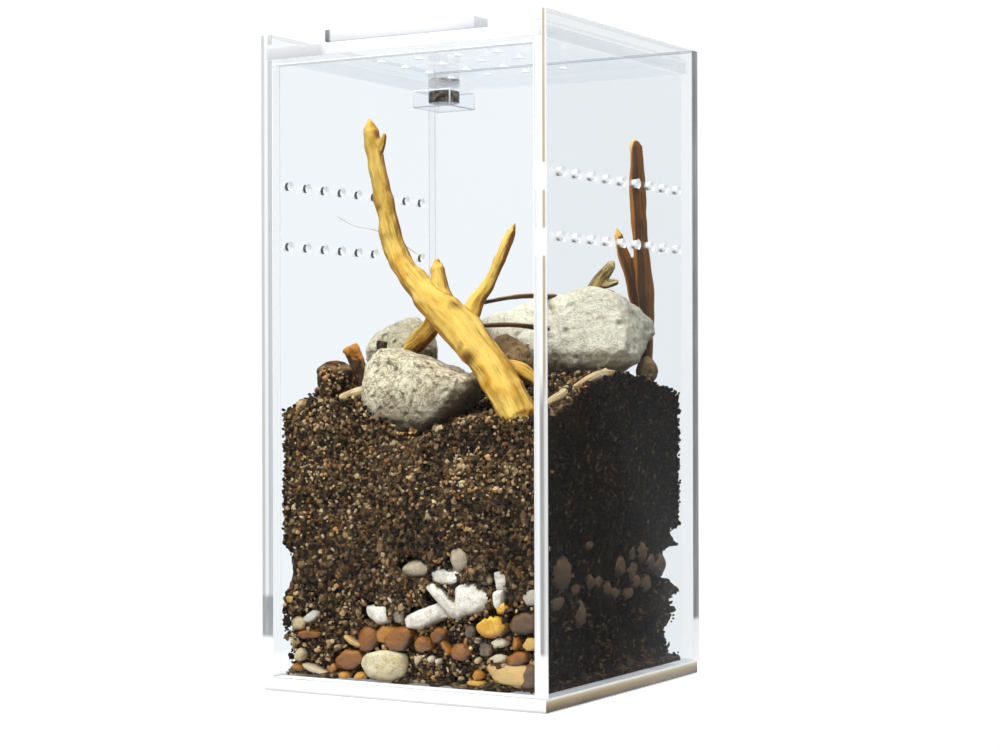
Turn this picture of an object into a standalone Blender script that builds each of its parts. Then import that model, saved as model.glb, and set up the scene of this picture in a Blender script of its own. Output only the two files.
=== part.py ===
"""A small clear acrylic terrarium with a sliding lid, planted out with soil, stones and driftwood.

Units are metres and +Z is up. The front faces -Y, and the origin is on the floor, under the middle of the case.
Each piece is its own object. The lid, its handle and its magnet hang on one empty, which slides towards -Y.
"""

import math
import random

import bmesh
import bpy
from mathutils import Matrix, Vector, noise

# Case: five glued sheets and a base
CASE_WIDTH = 0.0762
CASE_DEPTH = 0.0762
CASE_HEIGHT = 0.1524
WALL_SHEET = 0.003
BASE_SHEET = 0.003
BASE_INSET = 0.0005
GLUE_LINE = 0.0001

# Lid, the grooves that it runs in, and its handle
LID_SHEET = 0.0028
TOP_LIP = 0.0023
GROOVE_DEPTH = 0.0016
LID_RUNNING_GAP = 0.0001
LID_HEADROOM = 0.0008
LID_SIDE_GAP = 0.0003
LID_REAR_GAP = 0.0003
FRONT_WALL_GAP = 0.0011
HANDLE_LENGTH = 0.040
HANDLE_DEPTH = 0.006
HANDLE_HEIGHT = 0.0028

# Vent holes: two rows in each side wall and a square grid in the lid
VENT_RADIUS = 0.001
VENT_SIDES = 10
WALL_VENT_PITCH = 0.00725
WALL_VENT_MARGIN = 0.0065
WALL_VENT_UPPER_DROP = 0.0348
WALL_VENT_ROW_GAP = 0.0142
LID_VENT_PITCH = 0.0105
LID_VENTS_ACROSS = 4
LID_VENT_FRONT = 0.0172

# Latch: a magnet in a corner block, and its mate let into the lid above it
MAGNET_RADIUS = 0.004
BLOCK_MAGNET_HEIGHT = 0.003
MAGNET_GAP = 0.0001
LID_MAGNET_SKIN = 0.0007
BLOCK_SIDE_WALL = 0.0015
BLOCK_END_WALL = 0.0021
BLOCK_FLOOR = 0.0014
LATCH_GAP = 0.0004
MAGNET_SIDES = 24

# Soil: its depth at a share of 1, how it stands off the sheets, and how rough it is
SOIL_DEPTH = 0.069
SOIL_GAP = 0.0003
SEAT_GAP = 0.0002
SOIL_SIDE_RELIEF = 0.0012
SOIL_TOP_RELIEF = 0.0012
DRAINAGE_DEPTH = 0.024
DRAINAGE_INSET = 0.0018
BITE_DEPTH = 0.005
BITE_REACH = 0.006
SOIL_LUMPS = 15
# Rows run from the front to the back, and each row from left to right
SOIL_TOP_SHARES = (
    (0.87, 0.94, 0.80, 0.86, 0.84),
    (0.98, 0.98, 0.89, 0.90, 0.945),
    (0.98, 1.00, 1.00, 1.00, 1.02),
    (0.97, 1.00, 1.03, 1.03, 1.00),
    (0.93, 0.96, 0.98, 0.98, 0.94),
)
# Air pockets at the side walls: shares of the depth, the height, and BITE_DEPTH
SOIL_BITE_SHARES = {
    "left": ((0.00, 0.36, 0.70), (0.02, 0.13, 0.60), (0.74, 0.55, 0.50)),
    "right": ((1.00, 0.38, 1.00), (0.96, 0.16, 0.50)),
    "front": (),
    "back": ((0.05, 0.40, 0.80), (0.90, 0.30, 0.50)),
}

# Stones and a clump of soil that stand on the soil. A share of the width is of the soil's width
FRONT_ROCK_WIDTH_SHARE = 0.4095
FRONT_ROCK_DEPTH = 0.020
FRONT_ROCK_HEIGHT = 0.0215
MIDDLE_ROCK_WIDTH_SHARE = 0.2586
MIDDLE_ROCK_DEPTH = 0.015
MIDDLE_ROCK_HEIGHT = 0.0175
BROWN_ROCK_WIDTH_SHARE = 0.2011
BROWN_ROCK_DEPTH = 0.012
BROWN_ROCK_HEIGHT = 0.0135
PALE_ROCK_WIDTH_SHARE = 0.6609
PALE_ROCK_DEPTH = 0.027
PALE_ROCK_HEIGHT = 0.025
SMALL_ROCK_WIDTH_SHARE = 0.0718
SMALL_ROCK_DEPTH = 0.007
SMALL_ROCK_HEIGHT = 0.0075
CLUMP_DIAMETER = 0.0088
# Shares of the free travel across and along, and the share of the height that is sunk in the soil
ROCK_PLACE_SHARES = {
    "front_rock": (0.445, 0.020, 0.25),
    "middle_rock": (0.112, 0.408, 0.12),
    "brown_rock": (0.629, 0.448, 0.12),
    "pale_rock": (0.970, 0.940, 0.20),
    "small_rock": (0.985, 0.870, 0.15),
    "soil_clump": (0.056, 0.105, 0.12),
}
# Flat faces of a rock: a direction, and the share of the radius where it is cut
ROCK_FACET_SHARES = {
    "front_rock": ((0.38, 0.00, 0.92, 0.56), (-0.98, 0.00, 0.15, 0.64), (0.05, -1.00, 0.20, 0.74)),
    "middle_rock": ((-0.55, -0.40, 0.70, 0.78), (0.30, -0.90, 0.30, 0.74)),
    "brown_rock": ((0.20, -0.85, 0.50, 0.70), (-0.60, 0.10, 0.80, 0.76)),
    "pale_rock": ((0.98, 0.00, 0.15, 0.66), (-0.42, -0.10, 0.90, 0.66), (0.15, -0.92, 0.36, 0.72)),
    "small_rock": (),
    "soil_clump": (),
}

# Wood: the thickest radius of each piece
BRANCH_RADIUS = 0.0045
REAR_LIMB_RADIUS = 0.0024
SPUR_RADIUS = 0.0014
STUB_RADIUS = 0.0022
SIDE_LIMB_RADIUS = 0.0020
PRONG_RADIUS = 0.0012
DARK_TWIG_RADIUS = 0.0028
DARK_TWIG_LIMB_RADIUS = 0.0018
ROOT_RADIUS = 0.0017
ROOT_FINGER_RADIUS = 0.0010
THIN_TWIG_RADIUS = 0.0006
STICK_RADIUS = 0.0012
CHIP_RADIUS = 0.0011
BARK_WIDTH_SHARE = 0.0632
BARK_HEIGHT = 0.013
BARK_THICKNESS = 0.0012
BARK_BOW = 0.0012
LIMB_STEPS = 2
LIMB_ROUNDNESS = 1
# Points of a limb in the air: shares of the width, the depth, and the rise from the soil to the lid,
# and the radius there as a share of the limb's own
BRANCH_SHARES = (
    (0.939, 0.038, -0.146, 0.92),
    (0.781, 0.096, 0.018, 0.95),
    (0.647, 0.137, 0.119, 1.00),
    (0.538, 0.170, 0.189, 0.96),
    (0.406, 0.203, 0.270, 0.74),
    (0.292, 0.236, 0.352, 0.65),
    (0.226, 0.252, 0.443, 0.60),
    (0.175, 0.269, 0.574, 0.54),
    (0.125, 0.285, 0.706, 0.47),
    (0.087, 0.302, 0.838, 0.36),
)
REAR_LIMB_SHARES = (
    (0.475, 0.190, 0.200, 1.00),
    (0.376, 0.261, 0.144, 0.95),
    (0.256, 0.318, 0.094, 0.86),
)
SPUR_SHARES = (
    (0.748, 0.135, 0.045, 1.00),
    (0.855, 0.160, 0.023, 1.00),
    (0.946, 0.170, -0.023, 0.80),
)
STUB_SHARES = (
    (0.525, 0.180, 0.205, 1.00),
    (0.475, 0.206, 0.281, 0.95),
    (0.452, 0.222, 0.364, 0.80),
)
SIDE_LIMB_SHARES = (
    (0.615, 0.165, 0.160, 1.00),
    (0.620, 0.222, 0.232, 0.95),
    (0.657, 0.271, 0.301, 0.86),
    (0.690, 0.304, 0.379, 0.78),
    (0.724, 0.337, 0.470, 0.55),
)
PRONG_SHARES = (
    (0.120, 0.292, 0.700, 1.00),
    (0.145, 0.296, 0.750, 0.90),
    (0.162, 0.296, 0.792, 0.50),
)
DARK_TWIG_SHARES = (
    (0.953, 0.938, -0.085, 0.45),
    (0.950, 0.938, 0.131, 0.62),
    (0.947, 0.938, 0.245, 0.95),
    (0.938, 0.938, 0.333, 0.85),
    (0.934, 0.930, 0.427, 0.72),
    (0.925, 0.922, 0.549, 0.68),
    (0.922, 0.922, 0.656, 0.66),
    (0.917, 0.922, 0.788, 0.58),
)
DARK_TWIG_LIMB_SHARES = (
    (0.931, 0.930, 0.215, 1.00),
    (0.897, 0.922, 0.326, 0.95),
    (0.866, 0.914, 0.414, 0.85),
    (0.848, 0.906, 0.481, 0.60),
)
# Points about the pale rock's middle, as shares of its size, and the radius as a share
ROOT_STEM_SHARES = (
    (0.160, -0.040, 0.400, 1.00),
    (0.220, -0.010, 0.580, 0.95),
    (0.285, 0.020, 0.740, 0.65),
)
ROOT_MIDDLE_FINGER_SHARES = (
    (0.200, -0.020, 0.520, 1.00),
    (0.260, 0.010, 0.540, 0.90),
    (0.315, 0.020, 0.560, 0.60),
)
ROOT_LOW_FINGER_SHARES = (
    (0.170, -0.040, 0.430, 1.00),
    (0.270, -0.030, 0.450, 0.80),
    (0.350, 0.000, 0.370, 0.90),
)
# Where two thin twigs lie: the row of SIDE_LIMB_SHARES that they start at, and a point about the pale rock
THIN_TWIG_SHARES = {
    "thin_twig_1": (1, (0.02, -0.20, 0.42)),
    "thin_twig_2": (0, (0.04, -0.40, 0.10)),
}
# Points on the soil: shares of the width and the depth, the lift in radii, and the radius as a share
STICK_SHARES = (
    (0.205, 0.010, -0.10, 0.80),
    (0.255, 0.050, 0.60, 1.00),
    (0.300, 0.120, 1.60, 0.90),
)
CHIP_SHARES = {
    "wood_chip_1": ((0.641, 0.337, 1.6, 0.60), (0.700, 0.359, 2.6, 1.00), (0.759, 0.330, 0.2, 0.70)),
    "wood_chip_2": ((0.915, 0.190, 0.3, 0.80), (0.951, 0.225, 1.0, 1.00), (0.925, 0.310, 0.3, 0.60)),
    "wood_strip": ((0.940, 0.330, 0.3, 0.70), (0.984, 0.430, 0.7, 1.00), (0.973, 0.619, 0.3, 0.80)),
}
# Shares of the free travel across and along, the sunk share, and the turn and two leans in degrees
BARK_SHARES = {
    "bark_piece_1": (0.145, 0.209, 0.25, (0, -25, 20)),
    "bark_piece_2": (0.213, 0.235, 0.22, (3, 4, -30)),
}

# Pebbles that show at the front and right walls: the stock length as a share of the soil's side,
# the stock height, a thickness into the soil, and how high they are heaped
PEBBLE_LENGTH_SHARE = 0.10776
PEBBLE_HEIGHT = 0.0075
PEBBLE_THICKNESS = 0.0052
PEBBLE_REACH = 0.0315
# Kind, share of the free travel along the wall and up, length and height as shares of the stock's,
# and a tilt in degrees
FRONT_PEBBLE_SHARES = {
    "cream_stone": ("cream", 0.367, 0.000, 1.59, 0.92, 0),
    "amber_pebble_1": ("amber", 0.210, 0.081, 1.00, 0.59, -12),
    "amber_pebble_2": ("amber", 0.308, 0.243, 0.75, 0.80, 70),
    "amber_pebble_3": ("amber", 0.426, 0.287, 0.95, 0.70, 20),
    "amber_pebble_4": ("amber", 0.539, 0.248, 0.80, 0.57, 40),
    "amber_pebble_5": ("amber", 0.600, 0.335, 0.45, 0.47, 0),
    "amber_pebble_6": ("amber", 0.695, 0.222, 0.80, 0.39, -15),
    "amber_pebble_7": ("amber", 0.035, 0.289, 0.91, 0.31, -8),
    "amber_pebble_8": ("amber", 0.900, 0.210, 0.62, 0.42, 20),
    "yellow_pebble_1": ("yellow", 0.825, 0.427, 1.00, 0.65, 0),
    "yellow_pebble_2": ("yellow", 0.855, 0.575, 0.48, 0.36, 30),
    "brown_pebble_1": ("brown", 0.960, 0.487, 0.93, 0.73, 10),
    "brown_pebble_2": ("brown", 0.985, 0.059, 0.57, 0.61, 60),
    "white_stone_1": ("white", 0.757, 0.665, 1.16, 0.98, 20),
    "white_stone_2": ("white", 0.625, 0.646, 1.02, 0.92, -42),
    "white_stone_3": ("white", 0.640, 0.830, 0.97, 0.48, 14),
    "white_stone_4": ("white", 0.550, 0.485, 1.42, 0.58, 12),
    "white_stone_5": ("white", 0.343, 0.491, 0.88, 0.64, -25),
    "white_stone_6": ("white", 0.070, 0.425, 0.76, 0.37, -30),
    "white_stone_7": ("white", 0.850, 0.830, 0.59, 0.54, 0),
    "white_stone_8": ("white", 0.860, 0.690, 0.44, 0.56, 85),
    "beige_stone_1": ("beige", 0.692, 1.000, 0.72, 0.76, 80),
    "beige_stone_2": ("beige", 0.515, 0.900, 1.25, 0.55, -15),
}
RIGHT_PEBBLE_SHARES = {
    "dull_stone_1": ("dull", 0.096, 0.921, 1.27, 1.07, 20),
    "dull_stone_2": ("dull", 0.330, 0.749, 0.61, 0.56, 70),
    "dull_stone_3": ("dull", 0.452, 0.680, 0.56, 0.45, 0),
    "dull_stone_4": ("dull", 0.555, 0.860, 0.83, 0.70, 40),
    "dull_stone_5": ("dull", 0.732, 0.950, 0.75, 0.70, 60),
    "dull_stone_6": ("dull", 0.770, 0.660, 0.84, 0.58, 20),
    "dull_stone_7": ("dull", 0.620, 0.600, 0.85, 0.44, -20),
    "dull_stone_8": ("dull", 0.900, 0.828, 1.10, 0.84, 15),
}

# Worked out from the sizes above
FRONT_FACE = -CASE_DEPTH / 2
BACK_INNER = CASE_DEPTH / 2 - WALL_SHEET
FRONT_INNER = FRONT_FACE + WALL_SHEET
RIGHT_INNER = CASE_WIDTH / 2 - WALL_SHEET
LEFT_INNER = -RIGHT_INNER
WALL_BOTTOM = BASE_SHEET + GLUE_LINE
GROOVE_TOP = CASE_HEIGHT - TOP_LIP
GROOVE_BOTTOM = GROOVE_TOP - LID_HEADROOM - LID_SHEET - LID_RUNNING_GAP
LID_BOTTOM = GROOVE_BOTTOM + LID_RUNNING_GAP
LID_TOP = LID_BOTTOM + LID_SHEET
LID_BACK = BACK_INNER - LID_REAR_GAP
FRONT_WALL_TOP = LID_BOTTOM - FRONT_WALL_GAP
OVERRUN = WALL_SHEET
BLOCK_WIDTH = 2 * (MAGNET_RADIUS + MAGNET_GAP + BLOCK_SIDE_WALL)
BLOCK_DEPTH = 2 * (MAGNET_RADIUS + MAGNET_GAP + BLOCK_END_WALL)
BLOCK_HEIGHT = BLOCK_MAGNET_HEIGHT + MAGNET_GAP + BLOCK_FLOOR
BLOCK_TOP = LID_BOTTOM - LATCH_GAP
LATCH_X = LEFT_INNER + GLUE_LINE + BLOCK_WIDTH / 2
LATCH_Y = BACK_INNER - GLUE_LINE - BLOCK_DEPTH / 2
SOIL_LEFT = LEFT_INNER + SOIL_GAP
SOIL_RIGHT = RIGHT_INNER - SOIL_GAP
SOIL_FRONT = FRONT_INNER + SOIL_GAP
SOIL_BACK = BACK_INNER - SOIL_GAP
SOIL_BOTTOM = BASE_SHEET + SOIL_GAP
SOIL_WIDTH = SOIL_RIGHT - SOIL_LEFT
SOIL_LENGTH = SOIL_BACK - SOIL_FRONT
SOIL_LEVEL = SOIL_BOTTOM + SOIL_DEPTH
FRONT_ROCK_WIDTH = SOIL_WIDTH * FRONT_ROCK_WIDTH_SHARE
MIDDLE_ROCK_WIDTH = SOIL_WIDTH * MIDDLE_ROCK_WIDTH_SHARE
BROWN_ROCK_WIDTH = SOIL_WIDTH * BROWN_ROCK_WIDTH_SHARE
PALE_ROCK_WIDTH = SOIL_WIDTH * PALE_ROCK_WIDTH_SHARE
SMALL_ROCK_WIDTH = SOIL_WIDTH * SMALL_ROCK_WIDTH_SHARE
BARK_WIDTH = SOIL_WIDTH * BARK_WIDTH_SHARE

# Colour, roughness, metallic, alpha
FINISHES = {
    "acrylic": ((0.90, 0.93, 0.95), 0.04, 0.0, 0.25),
    "nickel": ((0.70, 0.69, 0.67), 0.15, 1.0, 1.0),
    "soil": ((0.060, 0.040, 0.026), 0.95, 0.0, 1.0),
    "clump": ((0.050, 0.038, 0.028), 0.95, 0.0, 1.0),
    "grey_rock": ((0.42, 0.39, 0.33), 0.85, 0.0, 1.0),
    "brown_rock": ((0.32, 0.20, 0.09), 0.85, 0.0, 1.0),
    "pale_rock": ((0.68, 0.62, 0.48), 0.85, 0.0, 1.0),
    "driftwood": ((0.70, 0.45, 0.15), 0.65, 0.0, 1.0),
    "dark_wood": ((0.16, 0.08, 0.035), 0.75, 0.0, 1.0),
    "bark": ((0.11, 0.06, 0.03), 0.85, 0.0, 1.0),
    "cream": ((0.76, 0.66, 0.42), 0.45, 0.0, 1.0),
    "amber": ((0.52, 0.24, 0.05), 0.35, 0.0, 1.0),
    "yellow": ((0.78, 0.46, 0.09), 0.35, 0.0, 1.0),
    "brown": ((0.12, 0.07, 0.04), 0.45, 0.0, 1.0),
    "white": ((0.80, 0.79, 0.76), 0.45, 0.0, 1.0),
    "beige": ((0.46, 0.38, 0.26), 0.50, 0.0, 1.0),
    "dull": ((0.20, 0.15, 0.11), 0.60, 0.0, 1.0),
}


# Scene and materials


def clear_scene():
    for obj in list(bpy.data.objects):
        bpy.data.objects.remove(obj, do_unlink=True)


def collection(name):
    found = bpy.data.collections.get(name)
    if found is None:
        found = bpy.data.collections.new(name)
        bpy.context.scene.collection.children.link(found)
    return found


def finish(obj, kind):
    """A Principled material of the piece's own."""
    colour, roughness, metallic, alpha = FINISHES[kind]
    material = bpy.data.materials.new(f"{obj.name}_finish")
    material.use_nodes = True
    shader = material.node_tree.nodes["Principled BSDF"]
    shader.inputs["Base Color"].default_value = (*colour, 1.0)
    shader.inputs["Roughness"].default_value = roughness
    shader.inputs["Metallic"].default_value = metallic
    shader.inputs["Alpha"].default_value = alpha
    material.diffuse_color = (*colour, alpha)
    obj.data.materials.append(material)


def add_piece(name, mesh, kind, place=(0, 0, 0)):
    obj = bpy.data.objects.new(name, mesh)
    collection("terrarium").objects.link(obj)
    obj.location = place
    finish(obj, kind)
    return obj


def add_cutter(name, mesh, place=(0, 0, 0)):
    obj = bpy.data.objects.new(f"{name}_cutter", mesh)
    collection("cutters").objects.link(obj)
    obj.location = place
    obj.hide_render = True
    obj.display_type = "WIRE"
    return obj


# Shapes


def mesh_from(bm, name):
    mesh = bpy.data.meshes.new(name)
    bm.to_mesh(mesh)
    bm.free()
    return mesh


def box_mesh(name, size):
    bm = bmesh.new()
    bmesh.ops.create_cube(bm, size=1)
    bmesh.ops.scale(bm, vec=size, verts=bm.verts)
    return mesh_from(bm, name)


def box_between(name, low, high, kind):
    """A plain sheet or block that fills the space from low to high."""
    low, high = Vector(low), Vector(high)
    return add_piece(name, box_mesh(name, high - low), kind, (low + high) / 2)


def pin_mesh(name, radius, height, places, sides, axis="Z"):
    """Round pins of one size at several places, along Z or X."""
    turn = Matrix.Rotation(math.pi / 2, 4, "Y") if axis == "X" else Matrix.Identity(4)
    bm = bmesh.new()
    for place in places:
        bmesh.ops.create_cone(
            bm, cap_ends=True, segments=sides, radius1=radius, radius2=radius, depth=height,
            matrix=Matrix.Translation(place) @ turn,
        )
    return mesh_from(bm, name)


def shade_round(mesh):
    mesh.shade_smooth()
    mesh.set_sharp_from_angle(angle=math.radians(40))


def boolean(obj, other, operation):
    modifier = obj.modifiers.new(f"{operation.lower()} {other.name}", "BOOLEAN")
    modifier.operation = operation
    modifier.object = other
    modifier.solver = "EXACT"


def evaluated_mesh(obj):
    """The piece's mesh with its modifiers, in its own coordinates."""
    depsgraph = bpy.context.evaluated_depsgraph_get()
    return bpy.data.meshes.new_from_object(obj.evaluated_get(depsgraph))


def between(low, high, size, share):
    """The middle of a thing of this size that lies this share of its free travel from low to high."""
    return low + size / 2 + share * (high - low - size)


def soil_height(across, along):
    """Height of the soil above its bottom at a share of the width and of the depth."""
    last = len(SOIL_TOP_SHARES) - 1
    column = min(max(across, 0) * last, last - 1e-6)
    row = min(max(along, 0) * last, last - 1e-6)
    c, r = int(column), int(row)
    near = SOIL_TOP_SHARES[r][c] + (column - c) * (SOIL_TOP_SHARES[r][c + 1] - SOIL_TOP_SHARES[r][c])
    far = SOIL_TOP_SHARES[r + 1][c] + (column - c) * (SOIL_TOP_SHARES[r + 1][c + 1] - SOIL_TOP_SHARES[r + 1][c])
    return SOIL_DEPTH * (near + (row - r) * (far - near))


def soil_surface(x, y):
    """Level of the soil's top at a place."""
    across = (x - SOIL_LEFT) / SOIL_WIDTH
    along = (y - SOIL_FRONT) / SOIL_LENGTH
    return SOIL_BOTTOM + soil_height(across, along)


def stone_mesh(name, size, seed, lumps=0.10, facets=9, stretch=1.0, turn=None, detail=2, planes=()):
    """A water-worn stone: a sphere with lumps and flat facets, fitted to its size."""
    rng = random.Random(seed)
    shift = Vector(rng.uniform(0, 50) for _ in range(3))
    bm = bmesh.new()
    bmesh.ops.create_icosphere(bm, subdivisions=detail, radius=1)
    cuts = list(planes)
    for _ in range(facets):
        direction = Vector(rng.gauss(0, 1) for _ in range(3)).normalized()
        cuts.append((*direction, rng.uniform(0.66, 0.86)))
    for vert in bm.verts:
        vert.co *= 1 + lumps * noise.noise(vert.co * 1.7 + shift)
        for x, y, z, reach in cuts:
            normal = Vector((x, y, z)).normalized()
            over = vert.co.dot(normal) - reach
            if over > 0:
                vert.co -= normal * over * 0.9
        vert.co.x *= stretch
    if turn is not None:
        bmesh.ops.transform(bm, matrix=turn, verts=bm.verts)
    low = Vector(min(v.co[i] for v in bm.verts) for i in range(3))
    high = Vector(max(v.co[i] for v in bm.verts) for i in range(3))
    for vert in bm.verts:
        vert.co = Vector(
            (vert.co[i] - (low[i] + high[i]) / 2) * size[i] / (high[i] - low[i]) for i in range(3)
        )
    mesh = mesh_from(bm, name)
    shade_round(mesh)
    return mesh


def limb_mesh(name, points, radius, shares, seed, knots=0.14):
    """A length of wood: a round curve through the points, thick and thin by the shares, and knobbly."""
    curve = bpy.data.curves.new(name, "CURVE")
    curve.dimensions = "3D"
    curve.bevel_depth = radius
    curve.bevel_resolution = LIMB_ROUNDNESS
    curve.resolution_u = LIMB_STEPS
    curve.use_fill_caps = True
    spline = curve.splines.new("BEZIER")
    spline.bezier_points.add(len(points) - 1)
    for knot, point, share in zip(spline.bezier_points, points, shares):
        knot.co = point
        knot.radius = share
        knot.handle_left_type = "AUTO"
        knot.handle_right_type = "AUTO"
    guide = bpy.data.objects.new(name, curve)
    collection("cutters").objects.link(guide)
    mesh = evaluated_mesh(guide)
    bpy.data.objects.remove(guide, do_unlink=True)
    bpy.data.curves.remove(curve)
    rng = random.Random(seed)
    shift = Vector(rng.uniform(0, 50) for _ in range(3))
    bm = bmesh.new()
    bm.from_mesh(mesh)
    bmesh.ops.remove_doubles(bm, verts=bm.verts, dist=radius / 1000)
    bmesh.ops.recalc_face_normals(bm, faces=bm.faces)
    bm.normal_update()
    pushes = [radius * knots * noise.noise(v.co / radius * 0.8 + shift) for v in bm.verts]
    for vert, push in zip(bm.verts, pushes):
        vert.co += vert.normal * push
    bm.to_mesh(mesh)
    bm.free()
    shade_round(mesh)
    return mesh


def fused(name, meshes):
    """One mesh from several that overlap."""
    body = bpy.data.objects.new(name, meshes[0])
    collection("cutters").objects.link(body)
    others = []
    for number, mesh in enumerate(meshes[1:]):
        others.append(add_cutter(f"{name}_{number}", mesh))
        boolean(body, others[-1], "UNION")
    mesh = evaluated_mesh(body)
    for obj in [body, *others]:
        bpy.data.objects.remove(obj, do_unlink=True)
    shade_round(mesh)
    return mesh


# How one piece makes room for another


def space_of(obj):
    """The corners of the box round a whole piece, before any seats are cut in it."""
    points = [obj.matrix_basis @ vert.co for vert in obj.data.vertices]
    low = Vector(min(point[i] for point in points) for i in range(3))
    high = Vector(max(point[i] for point in points) for i in range(3))
    return low, high


def close_together(one, other):
    low, high = one
    other_low, other_high = other
    return all(
        low[i] - SEAT_GAP < other_high[i] and other_low[i] < high[i] + SEAT_GAP for i in range(3)
    )


def swollen(obj):
    """A cutter in the shape of a whole piece, larger all round by the seat's gap."""
    name = f"{obj.name}_seat"
    found = bpy.data.objects.get(f"{name}_cutter")
    if found is not None:
        return found
    bm = bmesh.new()
    bm.from_mesh(obj.data)
    bm.normal_update()
    for vert in bm.verts:
        vert.co += vert.normal * SEAT_GAP
    cutter = add_cutter(name, mesh_from(bm, name))
    cutter.matrix_basis = obj.matrix_basis
    return cutter


def make_room(obj, others):
    """Cuts a seat in the piece for each of the others that comes close to it."""
    space = space_of(obj)
    near = [other for other in others if close_together(space, space_of(other))]
    if not near:
        return
    seats = collection(f"{obj.name}_seats")
    for other in near:
        seats.objects.link(swollen(other))
    modifier = obj.modifiers.new("seats", "BOOLEAN")
    modifier.operation = "DIFFERENCE"
    modifier.operand_type = "COLLECTION"
    modifier.collection = seats
    modifier.solver = "EXACT"


# Case


def base_plate():
    side = CASE_WIDTH / 2 - BASE_INSET
    end = CASE_DEPTH / 2
    box_between("base_plate", (-side, -end, 0), (side, end, BASE_SHEET), "acrylic")


def wall_vent_places():
    """Places of one row of vents along a side wall, spaced evenly about its middle."""
    free = BACK_INNER - FRONT_FACE - 2 * WALL_VENT_MARGIN
    count = int(free / WALL_VENT_PITCH) + 1
    middle = (FRONT_FACE + BACK_INNER) / 2
    return [middle + (i - (count - 1) / 2) * WALL_VENT_PITCH for i in range(count)]


def side_wall(name, side):
    """A side wall with a lid groove, open at the front, and two rows of vents. Side is -1 or 1."""
    outer = side * CASE_WIDTH / 2
    inner = side * RIGHT_INNER
    low = (min(outer, inner), FRONT_FACE, WALL_BOTTOM)
    high = (max(outer, inner), BACK_INNER - GLUE_LINE, CASE_HEIGHT)
    wall = box_between(name, low, high, "acrylic")
    groove = box_mesh(
        f"{name}_groove",
        (2 * GROOVE_DEPTH, CASE_DEPTH + 2 * OVERRUN, GROOVE_TOP - GROOVE_BOTTOM),
    )
    boolean(wall, add_cutter(f"{name}_groove", groove, (inner, 0, (GROOVE_TOP + GROOVE_BOTTOM) / 2)), "DIFFERENCE")
    upper = CASE_HEIGHT - WALL_VENT_UPPER_DROP
    places = [
        Vector(((outer + inner) / 2, y, z))
        for z in (upper, upper - WALL_VENT_ROW_GAP)
        for y in wall_vent_places()
    ]
    vents = pin_mesh(f"{name}_vents", VENT_RADIUS, WALL_SHEET + 2 * OVERRUN, places, VENT_SIDES, "X")
    boolean(wall, add_cutter(f"{name}_vents", vents), "DIFFERENCE")


def back_wall():
    end = CASE_WIDTH / 2
    box_between(
        "back_wall", (-end, BACK_INNER, WALL_BOTTOM), (end, CASE_DEPTH / 2, CASE_HEIGHT), "acrylic",
    )


def front_wall():
    end = RIGHT_INNER - GLUE_LINE
    box_between(
        "front_wall", (-end, FRONT_FACE, WALL_BOTTOM), (end, FRONT_INNER, FRONT_WALL_TOP), "acrylic",
    )


# Lid


def lid_carrier():
    """The empty that the lid's pieces hang on, at the lid's back edge. It slides along -Y."""
    carrier = bpy.data.objects.new("lid_slide", None)
    collection("terrarium").objects.link(carrier)
    carrier.location = (0, LID_BACK, LID_BOTTOM)
    bpy.context.view_layer.update()
    return carrier


def hang(obj, carrier):
    obj.parent = carrier
    obj.matrix_parent_inverse = carrier.matrix_world.inverted()


def lid_plate(carrier):
    side = RIGHT_INNER + GROOVE_DEPTH - LID_SIDE_GAP
    plate = box_between("lid_plate", (-side, FRONT_FACE, LID_BOTTOM), (side, LID_BACK, LID_TOP), "acrylic")
    hang(plate, carrier)
    steps = range(LID_VENTS_ACROSS)
    places = [
        Vector((
            (i - (LID_VENTS_ACROSS - 1) / 2) * LID_VENT_PITCH,
            FRONT_FACE + LID_VENT_FRONT + j * LID_VENT_PITCH,
            (LID_BOTTOM + LID_TOP) / 2,
        ))
        for i in steps
        for j in steps
    ]
    vents = pin_mesh("lid_vents", VENT_RADIUS, LID_SHEET + 2 * OVERRUN, places, VENT_SIDES)
    boolean(plate, add_cutter("lid_vents", vents), "DIFFERENCE")
    pocket = pin_mesh(
        "lid_magnet_pocket", MAGNET_RADIUS + MAGNET_GAP, LID_SHEET,
        [Vector((LATCH_X, LATCH_Y, LID_BOTTOM + LID_MAGNET_SKIN + LID_SHEET / 2))], MAGNET_SIDES,
    )
    boolean(plate, add_cutter("lid_magnet_pocket", pocket), "DIFFERENCE")


def lid_handle(carrier):
    low = (-HANDLE_LENGTH / 2, FRONT_FACE, LID_TOP + GLUE_LINE)
    high = (HANDLE_LENGTH / 2, FRONT_FACE + HANDLE_DEPTH, LID_TOP + GLUE_LINE + HANDLE_HEIGHT)
    hang(box_between("lid_handle", low, high, "acrylic"), carrier)


def lid_magnet(carrier):
    bottom = LID_BOTTOM + LID_MAGNET_SKIN + MAGNET_GAP
    mesh = pin_mesh("lid_magnet", MAGNET_RADIUS, LID_TOP - bottom, [Vector()], MAGNET_SIDES)
    shade_round(mesh)
    hang(add_piece("lid_magnet", mesh, "nickel", (LATCH_X, LATCH_Y, (bottom + LID_TOP) / 2)), carrier)


# Latch


def magnet_block():
    half = Vector((BLOCK_WIDTH / 2, BLOCK_DEPTH / 2, 0))
    middle = Vector((LATCH_X, LATCH_Y, 0))
    block = box_between(
        "magnet_block",
        middle - half + Vector((0, 0, BLOCK_TOP - BLOCK_HEIGHT)),
        middle + half + Vector((0, 0, BLOCK_TOP)),
        "acrylic",
    )
    pocket = pin_mesh(
        "block_pocket", MAGNET_RADIUS + MAGNET_GAP, 2 * (BLOCK_MAGNET_HEIGHT + MAGNET_GAP),
        [Vector((LATCH_X, LATCH_Y, BLOCK_TOP))], MAGNET_SIDES,
    )
    boolean(block, add_cutter("block_pocket", pocket), "DIFFERENCE")


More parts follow.
